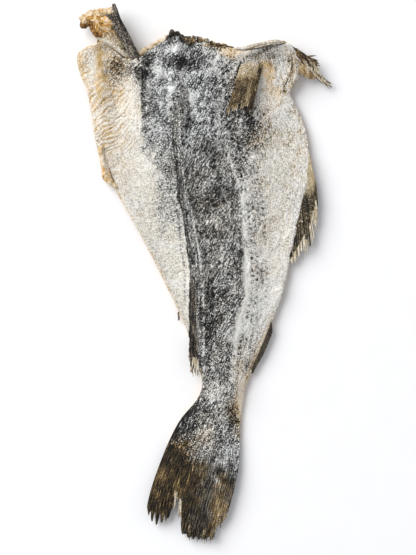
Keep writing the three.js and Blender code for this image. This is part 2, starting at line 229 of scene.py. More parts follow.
def wrinkles(x, y):
    """From -1 in a crease to 1 on a fold, and how strong the wrinkling is."""
    on_right, out, _, tail = place_on(x, y)
    over, along = wrinkle_map(x, y)
    phase = 2 * math.pi * over / WRINKLE_PITCH + 2.6 * rumple(x, y, 9, 6) + 1.5 * rumple(x, y, 4, 8)
    fold = 1 - 2 * (0.5 - 0.5 * np.sin(phase)) ** 1.8
    broken = smooth(rumple(over / WRINKLE_PITCH, along / WRINKLE_LONG, 1, 7), -0.9, 0.25)
    high = smooth(y, 60, 150)
    flap = np.where(on_right, 0, smooth(out, lerp(0.3, 0.47, high), lerp(0.58, 0.62, high))) * (1 - tail)
    strong = flap * lerp(0.3, 1, smooth(y, 40, 150)) * (1 - 0.2 * smooth(y, 205, 228))
    crinkle = 2 * np.abs(rumple(over, 0.6 * along, 3.2, 66)) ** 0.5 - 1
    return lerp(fold * broken, crinkle, 0.85 * smooth(y, 185, 205)), strong


def veins(x, y):
    """From 0 to 1 on the salt-white ridges that run down the nape and fan out over the back."""
    bent = x - np.interp(y, wrinkle_levels, ridge_drift) + 4 * rumple(x, y, 26, 10) + 2 * rumple(x, y, 9, 12)
    ridge = 1 - np.abs(rumple(0.9 * bent, 0.22 * y, 3.6, 13)) ** 0.5
    return smooth(ridge, 0.4, 0.85) * smooth(rumple(x, y, 13, 14), -0.4, 0.5)


def flank_creases(x, y):
    """From 0 to 1 in the short upright creases of the right flank."""
    on_right, out, _, tail = place_on(x, y)
    bent = x + 0.12 * y + 2.2 * rumple(x, y, 11, 1)
    line = 1 - np.abs(rumple(bent, 0.2 * y, 2.3, 2)) ** 0.6
    where = np.where(on_right, smooth(out, 0.42, 0.6), 0) * (1 - tail) * lerp(0.25, 1.3, smooth(y, 30, 180))
    return smooth(line, 0.35, 0.85) * smooth(rumple(x, y, 8, 3), -0.4, 0.5) * where


def collar_creases(x, y):
    """From 0 to 1 in the lengthwise creases of the skin that folds down beside the right collar."""
    inside = right_edge(y) - x
    line = 1 - np.abs(rumple(inside, 0.1 * y, 2.4, 18)) ** 0.7
    return smooth(line, 0.3, 0.8) * bell(inside - 7, 7) * between(y, 184, 194, 222, 232)


KNOT_X, KNOT_Y = -68, 212


def knot(x, y):
    """Curled creases round the foot of the left collar bone, from -1 to 1."""
    dx, dy = x - KNOT_X, y - KNOT_Y
    turn = np.arctan2(dy, dx)
    return np.sin(1.5 * np.hypot(dx, dy) + turn + 2.5 * rumple(x, y, 5, 4)) * bell(np.hypot(dx, dy), 9)


def fine_relief(x, y):
    """Wrinkles, ridges down the back and flank, pleats by the vent, and pores all over."""
    folds, strong = wrinkles(x, y)
    edgewise = x - right_edge(y)
    pleat = np.abs(rumple(edgewise, 0.1 * y, 3.2, 14)) * bell(edgewise + 14, 12) * smooth(-y, 20, 60)
    pores = 0.25 * rumple(x, y, 2.6, 15) + 0.35 * rumple(x, y, 7, 16)
    raised = 0.8 * veins(x, y) * (1 - strong) * smooth(y, -215, -190) + 1.5 * knot(x, y)
    raised = raised - 0.6 * flank_creases(x, y) - 1.2 * collar_creases(x, y)
    return 0.7 * folds * strong + raised - 1.2 * pleat * (1 - smooth(-y, 110, 150)) + pores


def along_flakes(x, y):
    """How far down the fish a point of the flesh side lies, measured across its chevrons of muscle."""
    bent = y + 0.7 * np.abs(x - back_crest(y) - 4 + 6 * rumple(x, y, 60, 17))
    return bent + 4 * rumple(x, y, 24, 19) + 2 * rumple(x, y, 9, 22)


def flakes(x, y):
    """The flesh side's muscle segments: overlapping chevrons whose edges stand out."""
    step = (along_flakes(x, y) / FLAKE_PITCH) % 1
    return 0.75 * step**3 * (1 - smooth(step, 0.9, 1)) + 0.25 * np.abs(rumple(x, y, 5, 21))


def skin_height(x, y):
    return flesh_height(x, y) + thickness(x, y) + skin_relief(x, y)


def across_at(column, y):
    """x of a grid column: one column runs on the crest, and towards the tail they spread evenly into rays."""
    share = LEFT_COLUMNS / (LEFT_COLUMNS + RIGHT_COLUMNS)
    left, right = left_edge(y), right_edge(y)
    seam = lerp(lerp(left, right, share), back_crest(y), smooth(y, -110, -10))
    inner = lerp(left, seam, column / LEFT_COLUMNS)
    outer = lerp(seam, right, (column - LEFT_COLUMNS) / RIGHT_COLUMNS)
    return np.where(column <= LEFT_COLUMNS, inner, outer)


# Slots torn between the left lobe's rays: share across the fin, depth, half width as a share.
RAY_SLOTS = [(0.05, 8, 0.012), (0.107, 12, 0.014), (0.172, 13, 0.013), (0.23, 6, 0.01), (0.335, 9, 0.01)]


def body_point(column, row, fringe):
    """x and y of a grid point, and its share across the fish."""
    u = column / (LEFT_COLUMNS + RIGHT_COLUMNS)
    level = np.interp(row / BODY_ROWS, [0, ROWS_ABOVE_VENT, 1], [NECK_Y, VENT_Y, TAIL_Y])
    near_neck = smooth(level, NECK_Y - NECK_REACH, NECK_Y) ** 2
    near_tail = (1 - smooth(level, TAIL_Y, TAIL_Y + TAIL_REACH)) ** 1.5
    at_neck = across_at(column, NECK_Y)
    ragged = 1.1 * rumple(at_neck, 0, 5, 23) + 0.9 * rumple(at_neck, 0, 1.9, 25)
    cut = neck_cut(at_neck) + ragged + fringe * bell(u - 0.37, 0.1) * (1 + 0.5 * rumple(at_neck, 0, 3, 27))
    torn = 2.2 * rumple(60 * u, 0, 1.1, 29) + 1.2 * rumple(60 * u, 0, 3.1, 31)
    torn = torn + sum(depth * bell(u - at, half) for at, depth, half in RAY_SLOTS)
    y = level + (cut - NECK_Y) * near_neck + (fin_end(u) + torn - TAIL_Y) * near_tail
    return across_at(column, y), y, u


def ray_ridges(u, y):
    """The fin's rays: fine uneven ribs that fade out over the tail's base."""
    rib = np.sin(2 * math.pi * (27 * u + 0.5 * rumple(40 * u, y, 9, 33)))
    return (0.32 * rib + 0.18 * rumple(70 * u, y / 9, 1.3, 35)) * (1 - smooth(y, -228, -180))


def skin_point(column, row):
    x, y, u = body_point(column, row, 0)
    return x, y, skin_height(x, y) + fine_relief(x, y) + ray_ridges(u, y)


def flesh_point(column, row):
    x, y, u = body_point(column, row, FLESH_FRINGE)
    pulp = flakes(x, y) * smooth(y, -190, -150)
    return x, y, np.maximum(0, flesh_height(x, y) + pulp - ray_ridges(u, y))


def in_scene(name, data):
    """A new object that holds `data`, put into the scene."""
    thing = bpy.data.objects.new(name, data)
    bpy.context.scene.collection.objects.link(thing)
    return thing


def closed_piece(name, points, faces):
    """A smooth-shaded piece, with its points in the drawing's millimetres."""
    mesh = bpy.data.meshes.new(name)
    mesh.from_pydata(((points + SHIFT) * MM).tolist(), [], faces)
    mesh.polygons.foreach_set("use_smooth", [True] * len(faces))
    mesh.update()
    return in_scene(name, mesh)


UPPER, UNDER, RIM = 0, 1, 2


def sheet(name, columns, rows, upper, lower, step=1):
    """A closed sheet between two faces, each a function of column and row. `step` makes the lower one
    coarser. The two faces and the rim between them have the materials UPPER, UNDER and RIM."""
    def face(side, every):
        j, i = np.mgrid[0:rows + 1:every, 0:columns + 1:every]
        return np.stack(np.broadcast_arrays(*side(i.astype(float), j.astype(float))), -1).reshape(-1, 3)

    def grid(wide, tall, start, flip):
        corner = (np.arange(tall)[:, None] * (wide + 1) + np.arange(wide)[None, :]).ravel() + start
        quads = np.stack([corner, corner + wide + 1, corner + wide + 2, corner + 1], 1)
        return quads[:, ::-1] if flip else quads

    def edges(wide, tall):
        """The points of a face's four edges, in order round it."""
        along, down = np.arange(wide + 1), np.arange(tall + 1) * (wide + 1)
        return [along, down + wide, (tall * (wide + 1) + along)[::-1], down[::-1]]

    top, under = face(upper, 1), face(lower, step)
    wide, tall = columns // step, rows // step
    rim = []
    for over, below in zip(edges(columns, rows), edges(wide, tall)):
        below = below + len(top)
        for k in range(len(below) - 1):
            fan = over[k * step:(k + 1) * step + 1]
            rim.append((*fan, below[k + 1], below[k]))
    faces = [*grid(columns, rows, 0, False).tolist(), *grid(wide, tall, len(top), True).tolist(), *rim]
    piece = closed_piece(name, np.concatenate([top, under]), faces)
    groups = [UPPER] * (columns * rows) + [UNDER] * (wide * tall) + [RIM] * len(rim)
    piece.data.polygons.foreach_set("material_index", groups)
    return piece


def drawn(piece):
    """The x, y and z of a piece's points in the drawing's millimetres."""
    co = np.empty(len(piece.data.vertices) * 3, np.float32)
    piece.data.vertices.foreach_get("co", co)
    return (co.reshape(-1, 3) / MM - SHIFT).T


def paint(piece, name, values):
    layer = piece.data.attributes.new(name, "FLOAT", "POINT")
    layer.data.foreach_set("value", np.clip(values, -1, 2).astype(np.float32))


def of_each(items, name):
    """A whole number of each corner or face of a piece."""
    values = np.empty(len(items), np.int32)
    items.foreach_get(name, values)
    return values


def map_fibres(piece, across, along):
    """Maps a piece in metres, with a value for each corner across its fibres and along them."""
    ribs = piece.data.uv_layers.new(name="ribs")
    ribs.data.foreach_set("uv", np.stack([across * MM, along * MM], 1).ravel())


body = sheet("cod_body", LEFT_COLUMNS + RIGHT_COLUMNS, BODY_ROWS, skin_point, flesh_point, UNDERSIDE_STEP)

# Pigment and salt, as how light the skin is from 0 to 1. Patches are (x, y, radius across, radius along,
# tilt in degrees, lighter or darker).
TONE_PATCHES = [
    # The left flap's top: a bare brown hollow, and painted shade round the foot of the collar bone where it
    # stands in the skin.
    (-92, 216, 11, 16, -12, -0.68), (-76, 214, 5, 6, 0, -0.35), (-66, 209, 9, 9, 0, -0.85),
    (-60, 219, 6, 5, 0, -0.4), (-57, 228, 9, 4, 20, -0.2), (-55, 196, 7, 12, 0, -0.2),
    (-116, 217, 5, 24, 8, 0.12), (-90, 140, 20, 70, 0, 0.04),
    # The nape: white crust round a bare dark hollow, white and dark furrows below it, two scratches.
    (-50, 213, 7, 11, 0, 0.34), (-34, 234, 12, 5, 16, 0.42), (-43, 193, 5, 18, 0, 0.2),
    (-25, 219, 16, 8, 0, -0.82), (-28, 243, 12, 5, 0, -0.5), (-8, 243, 9, 3, 0, -0.2),
    (-14, 204, 12, 6, 0, 0.2), (-24, 197, 7, 3, 0, 0.3), (-15, 193, 2.5, 9, -20, -0.24),
    (-37, 182, 2.8, 22, -5, 0.38), (-25, 175, 6, 16, 8, -0.5), (-12.5, 176, 3, 24, 17, 0.42),
    (-47, 158, 9, 14, 0, 0.1), (-4.5, 203.5, 1.3, 4.5, 35, -0.5), (-17, 161, 1.3, 6, 50, -0.4),
    (-18, 150, 3, 12, -25, -0.25), (-30, 133, 3, 14, 0, -0.25),
    # The right shoulder: white crust under the collar, a dark patch beside the pectoral fin and painted shade
    # below it.
    (6, 222, 7, 8, 0, 0.34), (27, 230, 14, 6, 0, 0.5), (20, 206, 8, 12, 0, 0.24), (64, 205, 9, 10, 0, 0.24),
    (75, 226, 13, 9, 0, -0.24), (91, 224, 4, 12, 0, 0.12), (10, 186, 15, 11, 0, -0.16),
    (37, 165, 14, 7, 0, -0.26), (60, 146, 14, 16, 0, -0.2),
    # The back: dark bands slanting across it, a pale stripe beside the dorsal ridge, and dark and pale
    # lengths on either side of the lateral line.
    (2, 132, 13, 14, 25, -0.3), (20, 120, 8, 22, 0, 0.1), (10, 80, 20, 11, 20, -0.22),
    (-15, 98, 5, 26, 0, 0.12), (-48, 76, 12, 22, 0, -0.14), (39, 98, 12, 20, 0, 0.12),
    (34, 3, 6, 32, 0, -0.18), (5, -44, 12, 24, 0, -0.26), (24, -70, 9, 13, 0, 0.1),
    (-2, -98, 8, 28, 0, -0.24), (15, -112, 8, 24, 0, 0.14), (-2.8, -78, 1.4, 36, 2, 0.42),
    (44, -54, 10, 20, 0, 0.22), (61, -10, 17, 34, 0, 0.14), (38, -130, 3, 24, 0, 0.42),
    # The tail stalk and the tail's base: bare dark rims, white crust between them.
    (-12, -138, 6, 18, -30, -0.36), (-28, -162, 8, 22, -35, -0.36), (-12, -167, 10, 11, -20, -0.26),
    (27, -150, 5, 18, 0, -0.32), (15, -170, 5, 18, 0, -0.18), (12, -135, 6, 14, 0, 0.14),
    (0, -172, 12, 13, 0, 0.2), (27, -191, 8, 20, 8, 0.3), (-5, -191, 8, 6, 0, 0.14),
    (28, -206, 4, 18, 0, -0.26), (-28, -186, 7, 10, -25, 0.12),
    # The tail fin: a white fleck, a frosted patch, pale strands and the paler lower ends of both lobes.
    (-3, -220, 2, 3, 0, 0.45), (17, -223, 6, 6, 0, 0.26), (-18, -219, 1.6, 16, -18, 0.3),
    (-45, -213, 7, 9, -20, 0.2), (-28, -229, 4, 15, -10, 0.24), (-48, -242, 6, 12, -10, 0.12),
    (16, -256, 9, 14, 0, 0.2), (-4, -232, 8, 24, 0, -0.08),
]
# Yellow and brown stains of oxidised fat, in the same form.
WARM_PATCHES = [
    # The left flap's yellow outer edge and brown hollow.
    (-111, 212, 3.5, 26, 0, 2.0), (-106, 206, 6, 10, 0, 0.4), (-104, 160, 15, 42, 0, 0.26),
    (-91, 220, 12, 15, 0, 0.6), (-112, 232, 10, 8, 0, 0.3), (-91, 190, 12, 8, 0, 0.3),
    (-119, 238, 2, 2, 0, 1.6), (-114, 197, 2, 2.6, 0, 1.2),
    # Torn nape, the skin under the collar, and a golden fleck beside the pectoral fin.
    (27, 231, 15, 6, 0, 1.9), (7, 238, 14, 4, 0, 2.0), (10, 222, 8, 10, 0, 0.35), (20, 196, 14, 18, 0, 0.3),
    (65, 213, 5.5, 7, 30, 4.2), (68, 196, 6, 18, 10, 0.7), (78, 188, 4, 8, 20, 0.8),
    # Faint yellow on the back and the flank.
    (54, 140, 12, 14, 0, 0.35), (5, 62, 20, 24, 0, 0.16), (84, 130, 16, 30, 0, 0.16),
    (70, 40, 16, 40, 0, 0.12), (36, -115, 6, 30, 0, 0.5), (30, -145, 8, 18, 0, 0.6),
    # The tail's base and its brown left lobe; the frosted patch between them is cold.
    (-3, -172, 10, 14, 0, 0.4), (27, -191, 9, 22, 0, -0.9), (-29, -188, 11, 12, -20, 1.2),
    (-30, -215, 14, 30, -18, 0.5), (-28, -229, 6, 16, -9, 3.0), (16, -248, 10, 20, 0, 0.2),
]
# How light the nape and the back are down the fish, and where their grey ends on the left, at the dorsal fins
# and on the right.
NAPE_EDGE_X = -66.5
nape_tone = through([(240, 0.53), (150, 0.45), (122, 0.55), (95, 0.68), (70, 0.72), (40, 0.83), (0, 0.88)])
fin_strip = through([
    (142, -35), (108, -30.5), (77, -28.5), (61, -23), (24, -19), (3, -16), (-76, -16), (-105, -15),
])
back_right = through([
    (240, 30), (200, 40), (163, 55), (140, 55), (119, 46), (92, 40), (77, 39), (24, 40.5), (-18, 41),
    (-39, 35), (-49, 28), (-75, 27), (-100, 26), (-125, 29), (-150, 33), (-172, 55),
])
back_tone = through([
    (240, 0.58), (205, 0.59), (160, 0.5), (120, 0.43), (84, 0.37), (35, 0.46), (-5, 0.41), (-40, 0.38),
    (-62, 0.32), (-90, 0.41), (-115, 0.49), (-150, 0.43), (-175, 0.46), (-200, 0.42), (-285, 0.42),
])
SPOT_PITCH, SPOT_ROW_PITCH = 6.2, 5
SPOT_ROWS, SPOTS_FROM_LINE = 4, 4
# Where the salt bloom ends on the tail, y at x, and how light and how brown the fin is at each share across.
bloom_end = through([(-45, -168), (-37, -174), (-24, -187), (-10, -198), (2, -202), (16, -210), (29, -209)])
fin_shade = through([
    (0, 0), (0.1, 0.06), (0.22, -0.05), (0.34, -0.09), (0.46, 0), (0.58, 0.05), (0.7, -0.03), (0.82, 0.03),
    (0.93, 0.06),
])
fin_brown = through([
    (0, 1.2), (0.12, 1.4), (0.24, 1.25), (0.36, 0.9), (0.47, 0.7), (0.6, 0.5), (0.71, 0.3), (0.84, 0.7),
    (0.95, 0.5),
])


def patches(x, y, rows):
    """The sum of soft tilted ellipses."""
    total = np.zeros_like(x)
    for at_x, at_y, wide, tall, tilt, amount in rows:
        c, s = math.cos(math.radians(tilt)), math.sin(math.radians(tilt))
        dx, dy = x - at_x, y - at_y
        total += amount * np.exp(-(((c * dx + s * dy) / wide) ** 2) - ((c * dy - s * dx) / tall) ** 2)
    return total


# Lines on the skin, dark or pale: y at x of points along each, half width, lighter or darker. The dark ones
# are painted shade in creases, under the right collar's roll and below it, and at the foot of the left collar
# bone.
CREASE_SHADE_LINES = [
    ([(34, 211), (36, 217), (38, 222), (49, 228), (60, 232), (70, 237), (80, 241)], 1.5, -0.45),
    ([(26, 196), (30, 203), (33, 209)], 1.3, -0.25),
    ([(34, 208), (36, 214), (39, 219)], 1.6, -0.4),
    ([(-72, 216), (-66, 217), (-60, 213), (-57, 205)], 1.3, 0.35),
    ([(-70, 211), (-64, 212), (-59, 207)], 1.1, -0.35),
]


def across_fin(x, y):
    """The share across the fish from its left edge, which is a ray's place in the tail fin."""
    return np.clip((x - left_edge(y)) / (right_edge(y) - left_edge(y)), 0, 1)


def past_bloom(x, y):
    """How far beyond the bloom's lower edge a point lies."""
    ray = 4 * rumple(60 * across_fin(x, y), 0.2 * y, 2, 111)
    return bloom_end(x) + 12 * rumple(x, y, 13, 109) + 8 * rumple(x, y, 4.5, 110) + ray - y


def dorsal_ridge_highlight(x, y):
    """A painted highlight along the raised dorsal ridge, where it catches the light. It is broken in places.
    """
    line = 0.62 * bell(x - back_crest(y) - 1.3, 1.0) * between(y, -110, -90, 62, 76)
    return line * smooth(rumple(0, y, 7, 38), -1.1 + 0.5 * (y < 0), 0) * (1 - 0.75 * bell(y + 5, 16))


def side_line(x, y):
    """How much lighter the lateral line is than the skin beside it."""
    beside = x - lateral_line(y) - 0.2 + 0.5 * rumple(0, y, 5, 36)
    line = 0.46 * bell(beside, 1.9) * between(y, -115, -60, 116, 132)
    return line * (0.75 + 0.5 * rumple(x, y, 3.2, 42))


def spots(x, y):
    """From 0 to 1 in the dark dots, which stand in staggered rows outside the lateral line."""
    past_line = x - lateral_line(y) - SPOTS_FROM_LINE
    row = np.floor(past_line / SPOT_ROW_PITCH)
    along = y / SPOT_PITCH + 0.5 * row + 0.2 * rumple(y, row, 30, 45)
    beat = np.abs(along % 1 - 0.5) * SPOT_PITCH
    from_row = past_line - SPOT_ROW_PITCH * (row + 0.5)
    rows = (row >= 0) * lerp(1, 0.45, smooth(row, 0, 2)) * (row < SPOT_ROWS)
    dots = rows * bell(from_row, 1.6) * bell(beat, 1.7)
    return dots * smooth(y, -115, -60) * smooth(rumple(x, y, 6, 40), -0.7, 0.1)


def clouds(x, y, tone):
    """Uneven salt in soft clouds, stronger on grey skin than on ivory, and weak on the tail fin."""
    dull = 1 - smooth(tone, 0.6, 0.86)
    cloud = lerp(0.05, 0.16, dull) * rumple(x, y, 13, 47) + lerp(0.03, 0.13, dull) * rumple(x, y, 5, 48)
    cloud = cloud + lerp(0.02, 0.14, dull) * rumple(0.88 * x - 0.47 * y, 0.2 * x + 0.37 * y, 4.2, 35)
    return cloud * (1 - 0.5 * smooth(past_bloom(x, y), -4, 12)) * (1 + 0.5 * smooth(y, 140, 170))


def ground_tone(x, y):
    """The ivory belly and flank, the grey nape and back, and the dark tail fin."""
    uneven = 3.5 * rumple(x, y, 9, 41) + 2 * rumple(x, y, 3.5, 43)
    flank = 0.84 + 0.07 * smooth(x, 50, 76) + 0.02 * smooth(y, 140, 180) + 0.03 * bell(right_edge(y) - x, 16)
    belly = np.where(x < back_crest(y), 0.92, flank)
    # The grey of the nape ends in a straight edge on the left flap, and fades out below it.
    soft = lerp(16, 1.6, smooth(y, 134, 156))
    grey = smooth(x - NAPE_EDGE_X + uneven * soft / 9 - 17 * smooth(156 - y, 0, 62), -soft / 2, soft / 2)
    tone = lerp(belly, nape_tone(y), grey * smooth(y, -10, 60) * (x < back_crest(y)))
    into_strip = x - fin_strip(y) + 0.6 * rumple(0, y, 5, 44)
    into_flank = (back_right(y) - x + uneven) / (7 + 21 * smooth(y, 88, 128))
    back = np.maximum(smooth(into_strip, -0.6, 0.6), smooth(-y, 92, 108)) * (1 - smooth(y, 142, 150))
    back = np.maximum(back, smooth(y, 140, 152) * smooth(x, -40, -30)) * smooth(into_flank, -0.5, 0.5)
    tone = lerp(tone, back_tone(y), back)
    return lerp(tone, 0.23 + fin_shade(across_fin(x, y)), smooth(past_bloom(x, y), -24, 14))


def skin_tone(x, y):
    """The ground with its lines, dots, clouds of salt and patches, and painted shade in its folds and
    creases.
    """
    inside = right_edge(y) - x
    # Painted shade in the folds along the right belly edge.
    edge_fold_shade = (1 - np.abs(rumple(inside, 0.06 * y, 2.6, 39)) ** 0.7) * bell(inside - 8, 9)
    edge_fold_shade = edge_fold_shade * between(-y, 30, 60, 130, 160)
    strip = bell(x - (fin_strip(y) + 4.5), 5) * between(y, -110, -90, 140, 150)
    freckle = smooth(rumple(x, y, 3.1, 46), 0.3, 0.7) * bell(x - lateral_line(y) - 9, 10) * smooth(y, -100, 0)
    lobe = (1 - smooth(x - (-14 - 0.1 * (y + 200)), -8, 6)) * (1 - smooth(y, -186, -162))
    gold = bell(x - 14, 9) * (1 - smooth(y, -240, -218))
    tone = lerp(ground_tone(x, y), 0.12, 0.9 * lobe) + 0.08 * gold - 0.14 * strip
    tone = tone + dorsal_ridge_highlight(x, y) + side_line(x, y)
    tone = tone - 0.7 * spots(x, y) - 0.16 * freckle * (x > back_crest(y)) - 0.17 * edge_fold_shade
    # Painted shade: the pleats beside the dorsal strip and the flank's and the collar's creases are darker,
    # and the curled creases at the collar bone's foot are lighter on their raised turns and darker in their
    # hollows, as painted light and shade.
    pleats = bell(x - fin_strip(y) + 5 + 1.5 * rumple(0, y, 24, 37), 1.3)
    pleats = pleats * between(y, -45, -15, 60, 90)
    tone = tone + 0.26 * knot(x, y) - 0.14 * flank_creases(x, y) - 0.3 * collar_creases(x, y) - 0.2 * pleats
    # The belly's wrinkle creases are darker, as painted shade.
    folds, strong = wrinkles(x, y)
    crease = smooth(-folds, 0.1, 0.9) * strong
    ridge = lerp(0.03, 0.26 + 0.2 * smooth(y, 130, 160), 1 - smooth(tone, 0.6, 0.86))
    white = (veins(x, y) - 0.25) * ridge * (1 - strong) * smooth(y, -205, -180)
    cloud = clouds(x, y, tone)
    for points, wide, amount in CREASE_SHADE_LINES:
        first_x, last_x = points[0][0], points[-1][0]
        within = between(x, first_x - 2, first_x + 1, last_x - 1, last_x + 2)
        tone = tone + amount * within * bell(y - through(points)(x), wide)
    return tone - 0.16 * crease + cloud + white + patches(x, y, TONE_PATCHES)


def skin_warmth(x, y):
    """Yellow on the rims, in the belly's folds and the flank's creases, brown on the fin, cold on the nape.
    It is from 0 to 1 and more for warm, and below 0 for cold."""
    folds, strong = wrinkles(x, y)
    at_left = bell(x - left_edge(y), 2.6) * between(y, -80, -40, 110, 150)
    at_right = bell(right_edge(y) - x, 6) * between(-y, 35, 60, 165, 185)
    tail = smooth(past_bloom(x, y), -10, 12) * fin_brown(across_fin(x, y))
    left = np.where(x < fin_strip(y), 0.15 * smooth(skin_tone(x, y), 0.6, 0.85), 0)
    cool = smooth(y, 120, 150) * between(x, -66, -54, 8, 30)
    warm = 0.03 + left - 0.9 * cool + 0.2 * smooth(-x, 60, 84) * smooth(y, 70, 120)
    warm = warm + 0.5 * at_left + 0.8 * at_right + tail
    warm = warm + lerp(0.45, 1.15, smooth(-x, 76, 100)) * smooth(-folds, 0, 0.8) * strong
    warm = warm + 0.5 * flank_creases(x, y) + 0.12 * smooth(x, 40, 70) * smooth(y, -60, 0)
    warm = warm + 0.6 * collar_creases(x, y) + 0.7 * bell(x - left_edge(y) - 3, 4) * smooth(y, 150, 205)
    return warm + patches(x, y, WARM_PATCHES) + 0.12 * rumple(x, y, 11, 49)


def backbone_bed(x, y, wide):
    """From 0 to 1 along the groove in which the backbone lay."""
    return bell(x - back_crest(y) + rumple(0, y, 17, 101), wide) * smooth(y, -70, -30)


def flesh_tone(x, y):
    """How light the flesh side is: a brown bed where the backbone lay, a thin grey lining on the belly flaps,
    salt that has dried in patches, and a yellow-brown edge."""
    out = place_on(x, y)[1]
    lining = smooth(out + 0.1 * rumple(x, y, 22, 102), 0.6, 0.66)
    lining = lining * between(y, -10, 20, 170, 200)
    salted = smooth(rumple(x, y, 15, 103) + 0.5 * rumple(x, y, 5, 104), 0.1, 0.8)
    cloud = 0.1 * rumple(x, y, 6, 105) + 0.07 * rumple(x, y, 30, 100)
    tone = 0.66 - 0.2 * backbone_bed(x, y, 6) - 0.12 * lining + 0.18 * salted + cloud
    return tone - 0.12 * smooth(out, 0.94, 1)


def flesh_warmth(x, y):
    """Brown in the backbone's bed, yellow at the edge and in wide stains."""
    edge = smooth(place_on(x, y)[1], 0.88, 1)
    return 0.08 + 0.5 * backbone_bed(x, y, 7) + 0.4 * edge + 0.2 * smooth(rumple(x, y, 34, 106), 0, 0.7)


body_x, body_y, body_z = drawn(body)
body_tone = skin_tone(body_x, body_y)
on_top = np.arange(len(body_x)) < (LEFT_COLUMNS + RIGHT_COLUMNS + 1) * (BODY_ROWS + 1)
before_fin = body_y > flesh_end(body_x) + 3 * rumple(body_x, 0, 5, 24)
fleshy = ~on_top & before_fin
# The grain is coarse on the grey back and fine on ivory skin, on the fin and along the tail's left rim.
on_tail = smooth(past_bloom(body_x, body_y), -18, 14)
beside = bell(body_x - lateral_line(body_y) - 11, 10) * smooth(body_y, -100, -40)
pale = smooth(body_tone, 0.58, 0.86)
grain = lerp(0.24, 0.09 + 0.02 * (body_x > 0), pale) * (1 - 0.72 * on_tail) + 0.05 * beside
smooth_rim = bell(body_x - left_edge(body_y) - 2, 6)
smooth_rim = smooth_rim * between(-body_y, 140, 155, 185, 205)
# The streaks are strong where the back is hatched, and weak on ivory skin, the flank and the nape.
hatched = bell(body_x - back_crest(body_y) - 9, 13) * between(body_y, 90, 112, 160, 176)
smooth_flank = smooth(body_x, 42, 50) * (1 - smooth(body_y, 60, 120))
nape = smooth(back_crest(body_y) - body_x, 0, 4) * smooth(body_y, 40, 80)
streaked = 0.44 - 0.32 * smooth(body_tone, 0.6, 0.86) - 0.1 * on_tail + 0.25 * hatched
streaked = streaked * (1 - 0.7 * smooth_flank) * (1 - 0.5 * nape)
paint(body, "tone", np.where(fleshy, flesh_tone(body_x, body_y), body_tone))
paint(body, "warm", np.where(fleshy, flesh_warmth(body_x, body_y), skin_warmth(body_x, body_y)))
paint(body, "grain", np.where(fleshy, 0.06, grain * (1 - 0.7 * smooth_rim)))
paint(body, "rays", np.where(fleshy, 0.16, streaked))

# The flesh side ends where the tail fin begins: from there on the underside is skin too.
corners = of_each(body.data.loops, "vertex_index")
first = corners[of_each(body.data.polygons, "loop_start")]
sides = of_each(body.data.polygons, "loop_total")
face = np.where(before_fin[first], of_each(body.data.polygons, "material_index"), UPPER)
body.data.polygons.foreach_set("material_index", face)

# A face's first point says how its streaks run, and `along` is stretched where they are to look shorter. They
# slant over the back and stand on the flank. They climb the belly flap with its wrinkles, follow the rays of
# the tail fin and the chevrons of the flesh side, and stand upright on the cut edges.
BACK_SLANT, FLANK_SLANT = 62, 96
FIN_STREAKS = 135
FIN_FROM_Y, NECK_FROM_Y, FLAP_FROM_Y = -185, 205, -100
lead_x, lead_y = np.repeat(body_x[first], sides), np.repeat(body_y[first], sides)
loop_x, loop_y = body_x[corners], body_y[corners]
slant = np.radians(np.where(lead_x < back_right(lead_y), BACK_SLANT, FLANK_SLANT))
across = loop_x * np.sin(slant) - loop_y * np.cos(slant)
along = 2.6 * (loop_x * np.cos(slant) + loop_y * np.sin(slant))
wrinkle_over, wrinkle_along = wrinkle_map(loop_x, loop_y)
on_flap = (lead_x < fin_strip(lead_y)) & (lead_y > FLAP_FROM_Y)
of_face = np.repeat(face, sides)
round_rim = np.where(lead_y > NECK_FROM_Y, loop_x, loop_y)
for where, over, down in [
    (on_flap, wrinkle_over, 1.5 * wrinkle_along),
    (lead_y < FIN_FROM_Y, across_fin(loop_x, loop_y) * FIN_STREAKS, 1.5 * loop_y),
    (of_face == UNDER, along_flakes(loop_x, loop_y), loop_x),
    (of_face == RIM, round_rim, 2 * body_z[corners]),
]:
    across, along = np.where(where, over, across), np.where(where, down, along)
map_fibres(body, across, along)


def linear(code):
    """The linear colour of an sRGB hex code."""
    parts = [int(code[k:k + 2], 16) / 255 for k in (1, 3, 5)]
    return [c / 12.92 if c <= 0.04045 else ((c + 0.055) / 1.055) ** 2.4 for c in parts] + [1]


def add_node(tree, kind, inputs=(), **settings):
    """A node with its settings, and its inputs as {socket: value or the socket that feeds it}."""
    node = tree.nodes.new(kind)
    colours = settings.pop("stops", [])
    if colours:
        ramp = node.color_ramp.elements
        ramp[0].position, ramp[0].color = colours[0][0], linear(colours[0][1])
        ramp[1].position, ramp[1].color = colours[-1][0], linear(colours[-1][1])
        for at, code in colours[1:-1]:
            ramp.new(at).color = linear(code)
    for name, value in settings.items():
        setattr(node, name, value)
    for socket, value in dict(inputs).items():
        if isinstance(value, bpy.types.NodeSocket):
            tree.links.new(value, node.inputs[socket])
        else:
            node.inputs[socket].default_value = value
    return node


def new_material(name, roughness, specular=0.3):
    """A material with only its shader. Returns the material, its node tree and the shader."""
    material = bpy.data.materials.new(name)
    material.use_nodes = True
    tree = material.node_tree
    shader = tree.nodes["Principled BSDF"]
    shader.inputs["Roughness"].default_value = roughness
    shader.inputs["Specular IOR Level"].default_value = specular
    return material, tree, shader


# Scales of 2 mm, each half hidden by dried salt, give the whole fish a pepper-and-salt grain. Fat that has
# oxidised stains it yellow, and the fins' rays are 1 to 2 mm apart.
SCALE_SIZE = 2.1
SALT_GRAIN = 0.85
GRAIN_GAIN, GRAIN_DEEP = 9.5, 0.25
SALT_SHARE = 1.3
RAY_WIDE, RAY_LONG = 1.2, 17
RAY_GAIN = 4.5
# A flake darkens towards the seam with the next one, from this share of it on, and by so much.
SEAM_FROM, SEAM_DARK = 0.66, -0.2
STAIN_SIZE, STAIN_GAIN = 6, 1.33
STAIN_TINT = (1.0, 0.68, 0.3, 1)
CHILL_TINT = (0.93, 0.96, 1.0, 1)


